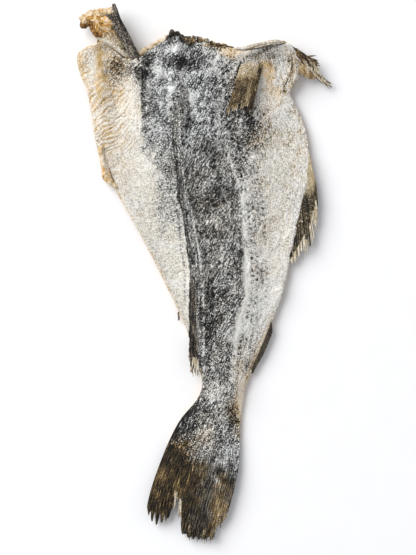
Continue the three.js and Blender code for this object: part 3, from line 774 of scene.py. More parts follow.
def pigmented(name, roughness, colours, seams=0):
    """A dried surface whose colours go from dark to light by the piece's own attributes: tone is how light it
    is, grain how speckled, rays how streaked along its fibres, and warm how stained, or below 0 how blue with
    salt. `seams` is how far apart it has dark seams, in millimetres."""
    material, tree, shader = new_material(name, roughness)
    place = add_node(tree, "ShaderNodeTexCoord").outputs["Object"]
    tone, warm, grain, rays = (
        add_node(tree, "ShaderNodeAttribute", attribute_name=kind).outputs["Fac"]
        for kind in ("tone", "warm", "grain", "rays")
    )
    scales = add_node(tree, "ShaderNodeTexNoise", {
        "Vector": place, "Scale": 1 / (SCALE_SIZE * MM), "Detail": 3, "Roughness": 0.72, "Distortion": 0.3,
    })
    salt = add_node(tree, "ShaderNodeTexNoise",
                    {"Vector": place, "Scale": 1 / (SALT_GRAIN * MM), "Detail": 1})
    both = add_node(tree, "ShaderNodeMath", {0: salt.outputs["Fac"], 1: SALT_SHARE, 2: scales.outputs["Fac"]},
                    operation="MULTIPLY_ADD")
    middle = (1 + SALT_SHARE) / 2
    centred = add_node(tree, "ShaderNodeMath", {0: both.outputs[0], 1: middle}, operation="SUBTRACT")
    speckle = add_node(tree, "ShaderNodeMath", {0: centred.outputs[0], 1: GRAIN_GAIN}, operation="MULTIPLY")
    ribs = add_node(tree, "ShaderNodeUVMap", uv_map="ribs").outputs["UV"]
    drawn_out = add_node(tree, "ShaderNodeMapping",
                         {"Vector": ribs, "Scale": (1 / (RAY_WIDE * MM), 1 / (RAY_LONG * MM), 1)})
    streak = add_node(tree, "ShaderNodeTexNoise", {"Vector": drawn_out.outputs[0], "Scale": 1, "Detail": 3},
                      noise_dimensions="2D")
    lean = add_node(tree, "ShaderNodeMath", {0: streak.outputs["Fac"], 1: 0.5}, operation="SUBTRACT")
    fibre = add_node(tree, "ShaderNodeMath", {0: lean.outputs[0], 1: RAY_GAIN}, operation="MULTIPLY")
    light = add_node(tree, "ShaderNodeMath", {0: speckle.outputs[0], 1: grain, 2: tone},
                     operation="MULTIPLY_ADD")
    light = add_node(tree, "ShaderNodeMath", {0: fibre.outputs[0], 1: rays, 2: light.outputs[0]},
                     operation="MULTIPLY_ADD")
    if seams:
        over = add_node(tree, "ShaderNodeSeparateXYZ", {0: ribs}).outputs["X"]
        flake = add_node(tree, "ShaderNodeMath", {0: over, 1: seams * MM}, operation="DIVIDE")
        within = add_node(tree, "ShaderNodeMath", {0: flake.outputs[0]}, operation="FRACT")
        seam = add_node(tree, "ShaderNodeMapRange", {
            "Value": within.outputs[0], "From Min": SEAM_FROM, "From Max": 1.0, "To Max": SEAM_DARK,
        })
        light = add_node(tree, "ShaderNodeMath", {0: light.outputs[0], 1: seam.outputs["Result"]},
                         operation="ADD")
    pigment = add_node(tree, "ShaderNodeValToRGB", {"Fac": light.outputs[0]}, stops=colours)
    blotch = add_node(tree, "ShaderNodeTexNoise",
                      {"Vector": place, "Scale": 1 / (STAIN_SIZE * MM), "Detail": 2})
    uneven = add_node(tree, "ShaderNodeMath", {0: blotch.outputs["Fac"], 1: STAIN_GAIN},
                      operation="MULTIPLY")
    unsalted = add_node(tree, "ShaderNodeMapRange", {
        "Value": light.outputs[0], "From Min": 0.55, "From Max": 1.0, "To Min": 1.9, "To Max": 0.45,
    })
    soaked = add_node(tree, "ShaderNodeMath", {0: warm, 1: unsalted.outputs["Result"]}, operation="MULTIPLY")
    stain = add_node(tree, "ShaderNodeMath", {0: soaked.outputs[0], 1: uneven.outputs[0]},
                     operation="MULTIPLY", use_clamp=True)
    coloured = add_node(tree, "ShaderNodeMix", {
        0: stain.outputs[0], 6: pigment.outputs["Color"], 7: STAIN_TINT,
    }, data_type="RGBA", blend_type="MULTIPLY")
    rough = add_node(tree, "ShaderNodeMath", {0: speckle.outputs[0], 1: fibre.outputs[0]}, operation="ADD")
    deep = add_node(tree, "ShaderNodeMapRange", {"Value": grain, "From Max": 0.1, "To Max": GRAIN_DEEP * MM})
    bump = add_node(tree, "ShaderNodeBump",
                    {"Height": rough.outputs[0], "Strength": 0.6, "Distance": deep.outputs["Result"]})
    chill = add_node(tree, "ShaderNodeMapRange", {"Value": warm, "From Max": -1.0})
    bleached = add_node(tree, "ShaderNodeMix", {
        0: chill.outputs["Result"], 6: coloured.outputs[2], 7: CHILL_TINT,
    }, data_type="RGBA", blend_type="MULTIPLY")
    tree.links.new(bleached.outputs[2], shader.inputs["Base Color"])
    tree.links.new(bump.outputs[0], shader.inputs["Normal"])
    return material


# Dried cod skin: grey-black pigment under a bloom of salt, ivory on the belly.
skin = pigmented("dried_salted_fish_skin", 0.72, [
    (0, "#0b0a0a"), (0.15, "#252422"), (0.3, "#4b4a48"), (0.5, "#7e7e7b"), (0.7, "#b2b1ac"),
    (0.85, "#dcdad2"), (1, "#fbfaf5"),
])

# Dried flesh: ivory to straw, matt and fibrous, with a brown seam between the flakes.
flesh = pigmented("dried_salted_flesh", 0.8, [
    (0, "#4f3b24"), (0.2, "#8a6f48"), (0.4, "#b69b70"), (0.6, "#d6c39c"), (0.8, "#ebdfc4"), (1, "#faf6ea"),
], FLAKE_PITCH)

for material in (skin, flesh, flesh):
    body.data.materials.append(material)
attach(body, "root")
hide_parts("cod")

# ---- Left collar bone ----
# The left half of the shoulder girdle: one flat dark bone, dried as hard as horn. Its foot is still under the
# nape's skin and its tip, with a small spur, stands free past the neck where the head was cut away.

BONE_TIP_Y = 281.5
BONE_FOOT_Y = 213
bone_left = through([
    (282, -97), (277, -97), (273, -96), (271, -98), (270, -104), (268, -109), (265, -105), (259, -100),
    (254, -95), (249, -91), (243, -87), (235, -84), (229, -81), (224, -78), (213, -76),
])
bone_right = through([
    (282, -94), (276, -91.5), (266, -88), (255, -82), (245, -77), (234, -71.5), (227, -68), (221, -67),
    (213, -66),
])


def plank(name, left, right, ends, columns, rows, top, deep, torn=None):
    """A closed sheet between a left and a right edge, each x at y, from one end's y to the other's. `torn`
    says how far short of the far end each share across stops. Returns it with its points' shares across."""
    def place(column, row):
        u, v = column / columns, row / rows
        y = lerp(ends[0], ends[1], v)
        x = lerp(left(y), right(y), u)
        if torn:
            y = y + torn(u) * smooth(v, 0.6, 1)
        return x, y, u, v

    def upper(column, row):
        x, y, u, v = place(column, row)
        return x, y, top(x, y, u, v)

    def lower(column, row):
        x, y, u, v = place(column, row)
        return x, y, top(x, y, u, v) - deep(u, v)

    across = np.tile(np.arange(columns + 1) / columns, 2 * (rows + 1))
    return sheet(name, columns, rows, upper, lower), across


def bone_top(x, y, u, v):
    foot = skin_height(x, y) - 1.5
    ridge = 1.3 * bell(u - 0.78, 0.16) - 0.8 * bell(u - 0.45, 0.15)
    striae = 0.35 * rumple(26 * u, y, 3.2, 51) + 0.25 * rumple(30 * u, y / 6, 1.2, 52)
    return lerp(24 - 3 * v, foot, smooth(v, 0.72, 1)) + ridge + striae


def lens(thin, deep):
    """Depth across a plank: thin at its two edges and full in the middle."""
    return lambda u, v: thin + deep * np.sqrt(np.clip(4 * u * (1 - u), 0, 1))


def dress(piece, tone, warm, grain, rays, across, along):
    """Gives a piece the pigment's attributes, and a map in metres across and along its fibres."""
    for name, values in (("tone", tone), ("warm", warm), ("grain", grain), ("rays", rays)):
        paint(piece, name, np.broadcast_to(values, len(piece.data.vertices)))
    corners = of_each(piece.data.loops, "vertex_index")
    map_fibres(piece, across[corners], along[corners])


def settle(piece, material, slot):
    """Finishes a piece: its material, its body and the solid it stands for. `slot` is not used."""
    piece.data.materials.clear()
    piece.data.materials.append(material)
    piece.data.polygons.foreach_set("material_index", [0] * len(piece.data.polygons))
    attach(piece, "root")
    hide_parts("cod")


# Dried bone: brown-black and waxy, with grey striae along it and salt in its hollows.
bone = pigmented("dried_collar_bone", 0.5, [
    (0, "#0b0a09"), (0.2, "#211f1d"), (0.45, "#4a4641"), (0.7, "#837b70"), (1, "#d8d1c4"),
])
collar_bone, u = plank("collar_bone_left", bone_left, bone_right, (BONE_TIP_Y, BONE_FOOT_Y), 36, 160,
                       bone_top, lens(1.2, 4))
x, y, _ = drawn(collar_bone)
tone = 0.33 + 0.14 * bell(u - 0.3, 0.2) - 0.16 * smooth(u, 0.72, 0.9)
tone = tone + 0.16 * bell(u, 0.12) * bell(y - 240, 16)
dress(collar_bone, tone + 0.08 * rumple(x, y, 6, 53), 0.2, 0.24, 0.24, 0.92 * x + 0.38 * y, y)
settle(collar_bone, bone, "skin")

# ---- Torn flesh beside the left collar bone ----
# A rag of shoulder muscle that stayed on the girdle: ivory below, oxidised to gold and brown along its outer
# edge, and ending in a crumbly lump the salt has bleached.

rag_outer = through([
    (268, -124), (260, -120), (254, -117), (249, -114), (245, -113), (239, -115), (232, -117), (224, -116),
    (214, -108),
])
rag_inner = through([(268, -97), (260, -96), (250, -88), (240, -82), (230, -77.5), (214, -73)])
RAG_TOP_Y, RAG_FOOT_Y = 268, 214
RAG_LEVEL = 20
GOLD_FROM_Y = 246


def under_flap(x, y):
    """From 0 out past the flap's cut edge to 1 under it."""
    return smooth(neck_cut(x) - y, -4, 1.5)


def rag_folds(x, y):
    return rumple(x + 0.6 * y, 0.15 * y, 3.2, 59)


def rag_top(x, y, u, v):
    crumple = 1.5 * rumple(x, y, 9, 54) + 0.8 * rumple(x, y, 3.6, 55) + 0.6 * rumple(x, y, 1.7, 56)
    lowered = lerp(RAG_LEVEL, skin_height(x, y) - 4.5, under_flap(x, y)) - 2.5 * smooth(u, 0.75, 1)
    return lowered + 1.5 * (1 - (2 * u - 1) ** 2) + crumple + 1.3 * rag_folds(x, y)


def thinned(u, v):
    """The rag's depth: half of it thins out towards the foot."""
    return lens(1.5, 6)(u, v) * (1 - 0.65 * smooth(v, 0.45, 0.65))


# Dried flesh that has gone rancid in air: from a bleached ivory through straw and gold to rust brown.
rancid = pigmented("oxidised_dried_flesh", 0.75, [
    (0, "#241a12"), (0.18, "#57452f"), (0.36, "#877457"), (0.54, "#b3a282"), (0.72, "#d3c6ab"),
    (0.86, "#e6ddca"), (1, "#f8f4ea"),
])
rag = plank("collar_flesh_left", rag_outer, rag_inner, (RAG_TOP_Y, RAG_FOOT_Y), 90, 110, rag_top, thinned)[0]
x, y, _ = drawn(rag)
outer = bell(x - rag_outer(y), 5) * smooth(y, GOLD_FROM_Y - 8, GOLD_FROM_Y)
gold = smooth(y, GOLD_FROM_Y, GOLD_FROM_Y + 8)
# Painted shade: the rag is darker in its fold valleys, beside the collar bone, in the slit at the flap's cut
# edge and where it runs under the flap.
crease_shade = smooth(rag_folds(x, y), 0, -0.6) * (1 - gold)
shade_beside_bone = bell(x - bone_left(y), 4) * (1 - gold)
past_flap = y - neck_cut(x)
layer = bell(past_flap - 2.8, 2.8) * (1 - gold)
slit = bell(past_flap + 0.3, 0.8) * smooth(x, -102, -96)
tone = lerp(0.55 - 0.2 * outer - 0.14 * crease_shade - 0.2 * shade_beside_bone, 0.93, layer)
tone = tone - 0.6 * slit - 0.2 * under_flap(x, y)
dress(rag, tone + 0.12 * rumple(x, y, 3, 60), 0.8 * gold + 0.3 * outer, 0.14, 0.14, 0.92 * x + 0.38 * y, y)
settle(rag, rancid, "flesh")


def lump(name, knobs, crumb, depth):
    """A craggy lump of overlapping knobs, each (x, y, z, radius x, radius y, radius z). `crumb` is how big
    its crumbs are, and `depth` how far they stand out."""
    shape = bmesh.new()
    for x, y, z, wide, tall, high in knobs:
        finer = 5 if wide + tall > 9 else 4
        grown = bmesh.ops.create_icosphere(shape, subdivisions=finer, radius=1)["verts"]
        for vert in grown:
            out = vert.co.normalized()
            at = Vector((out.x * wide + x, out.y * tall + y, out.z * high + z))
            near = noise.voronoi(at / crumb)[0][0]
            at += out * depth * (0.45 - near) * 2 + out * 0.35 * depth * noise.noise(at * 0.9)
            vert.co = (at + Vector(SHIFT)) * MM
    mesh = bpy.data.meshes.new(name)
    shape.to_mesh(mesh)
    shape.free()
    mesh.polygons.foreach_set("use_smooth", [True] * len(mesh.polygons))
    return in_scene(name, mesh)


def line(points):
    """A smooth curve through [x, y, z] points, as a function of the share along it."""
    share = np.linspace(0, 1, len(points))
    axes = [through(list(zip(share, values))) for values in zip(*points)]
    return lambda t: np.stack([axis(t) for axis in axes])


def rod(name, points, radii, sides, steps, rough, seed):
    """A closed rod along a line with a radius at each point, and long uneven folds on its surface."""
    t = np.linspace(0, 1, steps + 1)
    centre = line(points)(t).T
    forward = np.gradient(centre, axis=0)
    forward /= np.linalg.norm(forward, axis=1, keepdims=True)
    side = np.cross(forward, [0, 0, 1])
    side /= np.linalg.norm(side, axis=1, keepdims=True)
    up = np.cross(side, forward)
    reach = through(list(zip(np.linspace(0, 1, len(radii)), radii)))(t) * np.sqrt(1 - np.abs(2 * t - 1) ** 12)
    turn = np.arange(sides) * 2 * math.pi / sides
    around, along = np.meshgrid(turn, t * steps)
    fold = 1 + rough * rumple(3 * np.cos(around) + 0.05 * along, 3 * np.sin(around), 1, seed)
    fold = fold + 0.5 * rough * rumple(6 * np.cos(around) + 0.2 * along, 6 * np.sin(around), 1, seed + 1)
    swing = np.cos(around)[..., None] * side[:, None] + np.sin(around)[..., None] * up[:, None]
    rings = centre[:, None] + swing * (reach[:, None] * fold)[..., None]
    ends = np.stack([rings[0].mean(0), rings[-1].mean(0)])
    verts = np.concatenate([rings[1:-1].reshape(-1, 3), ends])
    faces = []
    for k in range(steps - 2):
        for n in range(sides):
            a, b = k * sides + n, k * sides + (n + 1) % sides
            faces.append((a, a + sides, b + sides, b))
    first, last = len(verts) - 2, len(verts) - 1
    base = (steps - 2) * sides
    faces += [(first, n, (n + 1) % sides) for n in range(sides)]
    faces += [(last, base + (n + 1) % sides, base + n) for n in range(sides)]
    return closed_piece(name, verts, faces)


# Each lump has its name, how light and how golden it is, how big its crumbs are and how far they stand out.
LUMPS = [
    ("collar_crumbs", 0.71, 0.55, 3.6, 1.3, [
        (-125, 266, 14, 6.5, 6, 5), (-118, 270, 16, 7.5, 6, 6), (-110, 271, 17, 7.5, 7, 6),
        (-102, 272, 18.5, 7, 6, 5), (-97.5, 275, 19, 4, 4, 4), (-115, 265, 15, 7, 4.5, 5),
    ]),
    ("collar_crumbs_rusty", 0.45, 1.1, 3.6, 1.3, [
        (-127, 261, 13, 4.5, 4.5, 4), (-121, 262, 14, 7, 3.4, 4), (-117, 256, 15, 4, 4.5, 4),
    ]),
    ("collar_flesh_gold", 0.5, 1.1, 7, 0.9, [
        (-113, 259, 18, 5, 6, 3), (-108, 254.5, 19.5, 6, 5.5, 2.6), (-104, 250.5, 19.5, 5, 3.4, 2.2),
        (-106, 260, 19, 6.5, 4.5, 2.4), (-113, 251, 18, 3.4, 4.5, 2.4),
    ]),
]
for name, light, golden, crumb, depth, knobs in LUMPS:
    crumbs = lump(name, knobs, crumb, depth)
    x, y, z = drawn(crumbs)
    hollow = 0.16 * rumple(x, y, 3.5, 57) + 0.1 * rumple(x, y, 9, 58) - 0.14 * smooth(-x, 118, 128)
    # Painted light: each lump is lighter the higher its points stand.
    dress(crumbs, light + hollow + 0.03 * (z - 18), golden, 0.04, 0, x, y)
    settle(crumbs, rancid, "flesh")

# Waxy flaps of it have curled over the rag. Each has its name and path, its width along it, and how light and
# how golden it is.
FLAPS = [
    ("collar_flap_top",
     [(-125, 266, 18), (-118.5, 267, 21), (-113, 264, 22.5), (-111.5, 259.5, 22), (-115, 254.5, 20)],
     [1, 2.2, 2.6, 2.2, 1], 0.62, 1.0),
    ("collar_flap_middle", [(-113, 267, 20), (-107, 265, 22.5), (-101, 261, 23), (-97, 256.5, 21.5)],
     [1.2, 2.6, 2.8, 1.2], 0.62, 1.1),
    ("collar_flap_low", [(-114, 252, 19.5), (-109.5, 256.5, 22), (-103.5, 255.5, 22.5), (-98.5, 252.5, 21)],
     [1, 2, 2.4, 1.2], 0.66, 0.8),
    ("collar_flap_rust", [(-117.5, 262, 17.5), (-117, 255.5, 18.5), (-113, 250.5, 19.5), (-107.5, 247.5, 20)],
     [1.2, 2.2, 2.2, 1], 0.36, 1.5),
]
for name, path, wide, light, golden in FLAPS:
    flap = rod(name, path, wide, sides=30, steps=80, rough=0.75, seed=50)
    x, y, z = drawn(flap)
    # Painted light: each flap is lighter the higher its points stand.
    dress(flap, light + 0.34 * rumple(x, y, 2.6, 57) + 0.04 * (z - 21), golden, 0.03, 0, x, y)
    settle(flap, rancid, "flesh")

# ---- Backbone stump ----
# The split took the backbone out as far as the vent. The rest of it still lies in the flesh side's groove,
# cut off slantwise: a row of straw-coloured vertebrae dried into the muscle.

VERTEBRA = 7.5
STUMP_FROM_Y, STUMP_END_Y = 22, -78
BONE_Y = np.arange(STUMP_FROM_Y, STUMP_END_Y, -VERTEBRA / 2)
knots = [(float(back_crest(y)) + 0.5, y, float(np.interp(y, [-70, -40, 22], [6, 4.9, 4.6]))) for y in BONE_Y]
widths = [1.5] + [4.4 - 1.1 * (n % 2) for n in range(1, len(BONE_Y) - 1)] + [2]
backbone = rod("backbone_stump", knots, widths, sides=32, steps=240, rough=0.16, seed=107)
x, y, _ = drawn(backbone)
beat = np.cos(2 * math.pi * (STUMP_FROM_Y - y) / VERTEBRA)
dress(backbone, 0.62 + 0.14 * beat + 0.1 * rumple(x, y, 4, 108), 0.5, 0.08, 0.1, x, y)
settle(backbone, rancid, "flesh")

# ---- Nape ----
# Where the head was torn off: a pale crumbly fringe of muscle, a broken black knob of skull and skin, and a
# brown dried membrane rolled along the edge.

# Dried membrane and fin web: brown-black to olive, going straw-coloured where it is thin.
web = pigmented("dried_web", 0.55, [
    (0, "#0c0a08"), (0.2, "#29241e"), (0.4, "#564c3c"), (0.6, "#938569"), (0.8, "#cbbc98"), (1, "#f4eee0"),
])
# Each has its name, material and slot, how light, warm and uneven it is, and its crumbs as in LUMPS.
NAPE_PIECES = [
    ("nape_knob", bone, "skin", 0.08, 0.4, 1, 5, 1.7, [
        (-34, 249.5, 24, 4, 4.6, 5), (-29, 247.5, 26.5, 5, 4.4, 4), (-24, 244.5, 28, 5.4, 4, 3),
        (-38, 244.5, 25, 3.4, 3.4, 4), (-19, 242, 28.5, 4, 2.6, 2.4),
    ]),
    ("nape_fringe", rancid, "flesh", 0.84, 0.4, 0.4, 5.5, 0.8, [
        (-68, 230, 15, 4, 3.2, 4), (-63, 233.5, 16, 4.4, 3.6, 4), (-58, 236.5, 18, 3.6, 2.8, 4),
        (-54, 237.5, 19, 4.6, 3.6, 4), (-49, 241, 20, 4, 3, 4), (-45, 242.5, 20.5, 4.4, 3.6, 4),
        (-41, 245.5, 21, 3.4, 3.2, 4),
    ]),
    ("nape_membrane", web, "skin", 0.32, 0.5, 1, 4.4, 1.2, [
        (-17, 243, 28.2, 4.4, 3.8, 2.6), (-11, 243.5, 28, 4, 3.8, 2.6), (-5, 243.2, 28, 4.2, 3.8, 2.6),
        (1, 241.5, 28, 4, 3.6, 2.4), (7, 239.5, 27.4, 4.2, 3.2, 2.2), (13, 238.2, 26.8, 3.8, 2.4, 2),
        (19, 237.4, 26.4, 3.6, 1.7, 1.7), (24.5, 236.4, 26, 3, 1.2, 1.4), (29, 235.6, 25.6, 2.4, 0.9, 1.1),
    ]),
]
for name, material, slot, light, warm, uneven, crumb, depth, knobs in NAPE_PIECES:
    bits = lump(name, knobs, crumb, depth)
    x, y, z = drawn(bits)
    # Painted light: each piece is lighter the higher its points stand.
    tone = light + 0.4 * rumple(x, y, 3.4, 61) * uneven + 0.02 * (z - 24)
    dress(bits, tone, warm, 0.12, 0, x, y)
    settle(bits, material, slot)

# ---- Right collar ----
# The right half of the girdle is rolled up in the skin along the neck and folds down over the flank. Its bone
# sticks out in a twisted, splintered strip with a rag of tan flesh behind it.

# Each fold has its name and path, its radius along it, its sides and steps, how rough it is and its seed.
COLLAR_FOLDS = [
    ("collar_roll_right", [(24, 232.5, 25.5), (40, 234, 26.4), (58, 238, 25), (72, 240.8, 24), (86, 241, 22)],
     [0.8, 2, 2.7, 2.9, 1.2], 30, 190, 0.3, 65),
    ("collar_fold_right", [(88, 236, 20), (94, 225, 17), (95, 213, 14.5), (92, 201, 12.5), (87.5, 189, 9.5)],
     [1.4, 3.4, 4.2, 3.6, 1.2], 30, 150, 0.34, 67),
]
for name, path, radii, sides, steps, rough, seed in COLLAR_FOLDS:
    fold = rod(name, path, radii, sides, steps, rough, seed)
    x, y, _ = drawn(fold)
    turn = np.concatenate([np.tile(np.arange(sides), steps - 1), [0, 0]])
    # Painted shade: each fold is darker on the side that faces the skin and in its lengthwise creases.
    inner = bell(turn / sides - 0.05, 0.06)
    crease_shade = np.maximum(0.3 * smooth(rumple(turn, 0.05 * (x - y), 2.2, seed + 2), 0.2, 0.6), 1.3 * inner)
    salted = smooth(rumple(x, y, 7, seed + 3), 0, 0.6)
    dress(fold, 0.78 - 0.4 * crease_shade + 0.1 * salted, 0.6 - 0.3 * salted, 0.1, 0.2, turn * 22 / sides, x - y)
    settle(fold, skin, "skin")
rag_right = rod("collar_flesh_right", [(95, 221, 13), (102, 214, 12), (109, 209, 11), (117, 205, 9)],
                [4, 5.6, 4.6, 1.2], sides=28, steps=80, rough=0.2, seed=70)
x, y, _ = drawn(rag_right)
dress(rag_right, 0.6 + 0.26 * rumple(x, y, 3.4, 71), 0.45, 0.1, 0.14, x + y, x - y)
settle(rag_right, rancid, "flesh")


def strands(name, lines, radius, material):
    """Tapered strands swept along lines of [x, y, z] points by a node tree. `radius` is theirs at the root,
    in millimetres."""
    curve = bpy.data.curves.new(name + "_paths", "CURVE")
    curve.dimensions = "3D"
    for points in lines:
        spline = curve.splines.new("POLY")
        spline.points.add(len(points) - 1)
        for point, (x, y, z) in zip(spline.points, points):
            point.co = ((x + SHIFT[0]) * MM, (y + SHIFT[1]) * MM, z * MM, 1)
    source = in_scene(name + "_paths", curve)
    tree = bpy.data.node_groups.new(name + "_strands", "GeometryNodeTree")
    tree.interface.new_socket("Paths", in_out="INPUT", socket_type="NodeSocketGeometry")
    size = tree.interface.new_socket("Radius", in_out="INPUT", socket_type="NodeSocketFloat")
    tree.interface.new_socket("Strands", in_out="OUTPUT", socket_type="NodeSocketGeometry")
    given = add_node(tree, "NodeGroupInput")
    smooth_path = add_node(tree, "GeometryNodeResampleCurve", {"Curve": given.outputs["Paths"], "Count": 14})
    share = add_node(tree, "GeometryNodeSplineParameter").outputs["Factor"]
    taper = add_node(tree, "ShaderNodeMapRange", {"Value": share, "To Min": 1.0, "To Max": 0.25})
    index = add_node(tree, "GeometryNodeInputIndex").outputs[0]
    which = add_node(tree, "GeometryNodeCurveOfPoint", {"Point Index": index})
    spread = add_node(tree, "FunctionNodeRandomValue", {
        2: 0.6, 3: 1.3, "ID": which.outputs["Curve Index"], "Seed": 7,
    }, data_type="FLOAT")
    reach = add_node(tree, "ShaderNodeMath", {0: taper.outputs["Result"], 1: given.outputs["Radius"]},
                     operation="MULTIPLY")
    uneven = add_node(tree, "ShaderNodeMath", {0: reach.outputs[0], 1: spread.outputs[1]},
                      operation="MULTIPLY")
    ring = add_node(tree, "GeometryNodeCurvePrimitiveCircle", {"Resolution": 6, "Radius": 1.0})
    swept = add_node(tree, "GeometryNodeCurveToMesh", {
        "Curve": smooth_path.outputs["Curve"], "Profile Curve": ring.outputs["Curve"],
        "Scale": uneven.outputs[0], "Fill Caps": True,
    })
    whole = add_node(tree, "GeometryNodeRealizeInstances", {"Geometry": swept.outputs["Mesh"]})
    coated = add_node(tree, "GeometryNodeSetMaterial",
                      {"Geometry": whole.outputs["Geometry"], "Material": material})
    out = add_node(tree, "NodeGroupOutput")
    tree.links.new(coated.outputs["Geometry"], out.inputs["Strands"])
    modifier = source.modifiers.new("strands", "NODES")
    modifier.node_group = tree
    modifier[size.identifier] = radius * MM
    held = bpy.context.evaluated_depsgraph_get()
    mesh = bpy.data.meshes.new_from_object(source.evaluated_get(held))
    mesh.name = name
    bpy.data.objects.remove(source)
    return in_scene(name, mesh)


strip_path = line([
    (88, 238, 16), (96, 232, 16), (105, 224, 14.5), (113, 215, 12), (122, 204, 9), (135, 195, 6),
])
rng = np.random.default_rng(73)


def splinter(start, end, beside, above, splay):
    """A strand along the strip, to one side of its middle and splayed out towards the tip."""
    t = np.linspace(start, end, 7)
    x, y, z = strip_path(t)
    apart = (0.3 + 0.8 * bell(t - 0.5, 0.24)) * beside + splay * (t - 0.6).clip(0)
    return np.stack([x + 0.72 * apart, y + 0.68 * apart, z + (1 - 0.6 * t) * above], 1)


def splinters_between(count, *ranges):
    """Splinters with each of their values drawn from its own range."""
    return [splinter(*[rng.uniform(low, high) for low, high in ranges]) for _ in range(count)]


# Dark splinters run on from the collar and stand out from the strip's middle, and straw ones hang at its tip.
dark_ones = splinters_between(34, (0, 0.4), (0.6, 0.93), (-4, 4), (-1.8, 1.4), (-8, 8))
for _ in range(16):
    x, y, z = strip_path(np.array(rng.uniform(0.38, 0.6)))
    ahead, over = rng.uniform(4, 11), rng.uniform(1, 7)
    halfway = (x + ahead / 2, y + over / 2 + 2, z + 1.5)
    dark_ones.append([(x - 1, y + 2.5, z), halfway, (x + ahead, y + over - 1, z)])
straw_ones = splinters_between(26, (0.35, 0.75), (0.86, 1), (-2.5, 4.5), (0.4, 2.2), (-6, 9))
for _ in range(10):
    x, y, z = strip_path(np.array(rng.uniform(0.56, 0.68)))
    long = rng.uniform(6, 11)
    halfway = (x + 4 + rng.uniform(0, 2), y + 2 - long / 2, z + 1)
    straw_ones.append([(x + 3, y + 4, z + 1), halfway, (x + 5, y + 3 - long, z)])
for name, paths, wide, material, light, warm in [
    ("collar_splinters_dark", dark_ones, 1.5, bone, 0.44, 0.9),
    ("collar_splinters_straw", straw_ones, 1.1, web, 0.74, 0.1),
]:
    splinters = strands(name, paths, wide, material)
    x, y, _ = drawn(splinters)
    dress(splinters, light + 0.45 * rumple(x + y, 0.2 * (x - y), 1.6, 75), warm, 0.14, 0.1, x + y, x - y)
    settle(splinters, material, "skin")

# ---- Dorsal fins ----
# Three fins once stood along the back. They were pressed down to the left of the crest as the fish dried, and
# their rays, which point to the tail, are split and frayed.


def on_skin(x, y, above):
    return x, y, float(skin_height(x, y)) + above


dorsal_1_left = through([(196, -20), (187, -30), (171, -34.7), (155, -35.7), (138, -34.5)])
dorsal_1_right = through([(196, -18), (171, -18), (150, -22), (138, -26)])
dorsal_3_left = through([(14, -14), (-10, -16.2), (-60, -17), (-92, -16.6), (-104, -15.6)])


def strip_top(x, y, u, v):
    """A strip pressed onto the skin beside the crest, with its rays standing up along it."""
    proud = lerp(1.5, 0.6, smooth(y, 120, 150))
    laid = skin_height(np.maximum(x, left_edge(y) + 3), y)
    ray = 0.45 * np.abs(rumple(9 * u, y / 40, 0.9, 77)) + 0.25 * rumple(16 * u, y / 12, 1, 78)
    ray = ray * (1 - 0.6 * smooth(y, 138, 150))
    swollen = proud * np.sin(math.pi * u) ** 0.6 * between(v, 0, 0.06, 0.9, 1)
    return laid + 0.4 + swollen + ray


def ray_ends(u):
    """The middle rays are broken off short, and the others end unevenly."""
    return 14 * bell(u - 0.5, 0.2) + 3 * np.abs(rumple(9 * u, 0, 1, 79)) + 1.5 * rumple(23 * u, 0, 1, 80)


def ragged(edge):
    """An edge line with small uneven nicks."""
    return lambda y: edge(y) + 0.8 * rumple(0, y, 6, 62) + 0.5 * rumple(0, y, 2.1, 63)


# Each has its name, edges and ends, its columns and how its rays end. Then come how light its left and its
# right side are, how speckled, brown and streaked it is, and how far it takes to show its colour.
DORSAL_FINS = [
    ("dorsal_fin_1", dorsal_1_left, dorsal_1_right, (195, 139), 24, None,
     0.32, 0.42, 0.28, 0.06, 0.3, 26),
    ("dorsal_fin_2", fin_strip, lambda y: back_crest(y) - 0.5, (147, 4), 30, None,
     0.08, 0.3, 0.24, 0.06, 1, 10),
    ("dorsal_fin_3", dorsal_3_left, lambda y: back_crest(y) - 1.5, (12, -104), 40, ray_ends,
     0.1, 0.18, 0.14, 0.4, 1, 44),
]
DORSAL_ROW, DORSAL_WIDE = 1.1, 12
for name, left, right, ends, columns, torn, dark, light, speckled, brown, clear, fade in DORSAL_FINS:
    rows = round(abs(ends[0] - ends[1]) / DORSAL_ROW)
    dorsal, u = plank(name, ragged(left), right, ends, columns, rows, strip_top, lens(0.8, 2.6), torn)
    x, y, _ = drawn(dorsal)
    started = smooth(abs(y - ends[0]), 0, fade)
    tone = lerp(0.42, lerp(dark, light, smooth(u + 0.2 * rumple(x, y, 12, 82), 0.25, 0.85)), started)
    streak = 0.3 * smooth(rumple(10 * u, 0.04 * y, 1, 81), 0.15, 0.6) * (0.5 + 0.5 * rumple(0, y, 9, 64))
    tone = tone + clear * (0.7 * streak - 0.12 * smooth(rumple(8 * u, 0.03 * y, 1, 76), 0, 0.6))
    dress(dorsal, tone + 0.07 * rumple(x, y, 4, 83), brown * started * (1 - smooth(u, 0.5, 0.8)),
          speckled * (1 + smooth(u, 0.5, 0.8)) + 0.14 * (1 - started), 0.34 * clear, DORSAL_WIDE * u, y)
    settle(dorsal, skin, "fin")

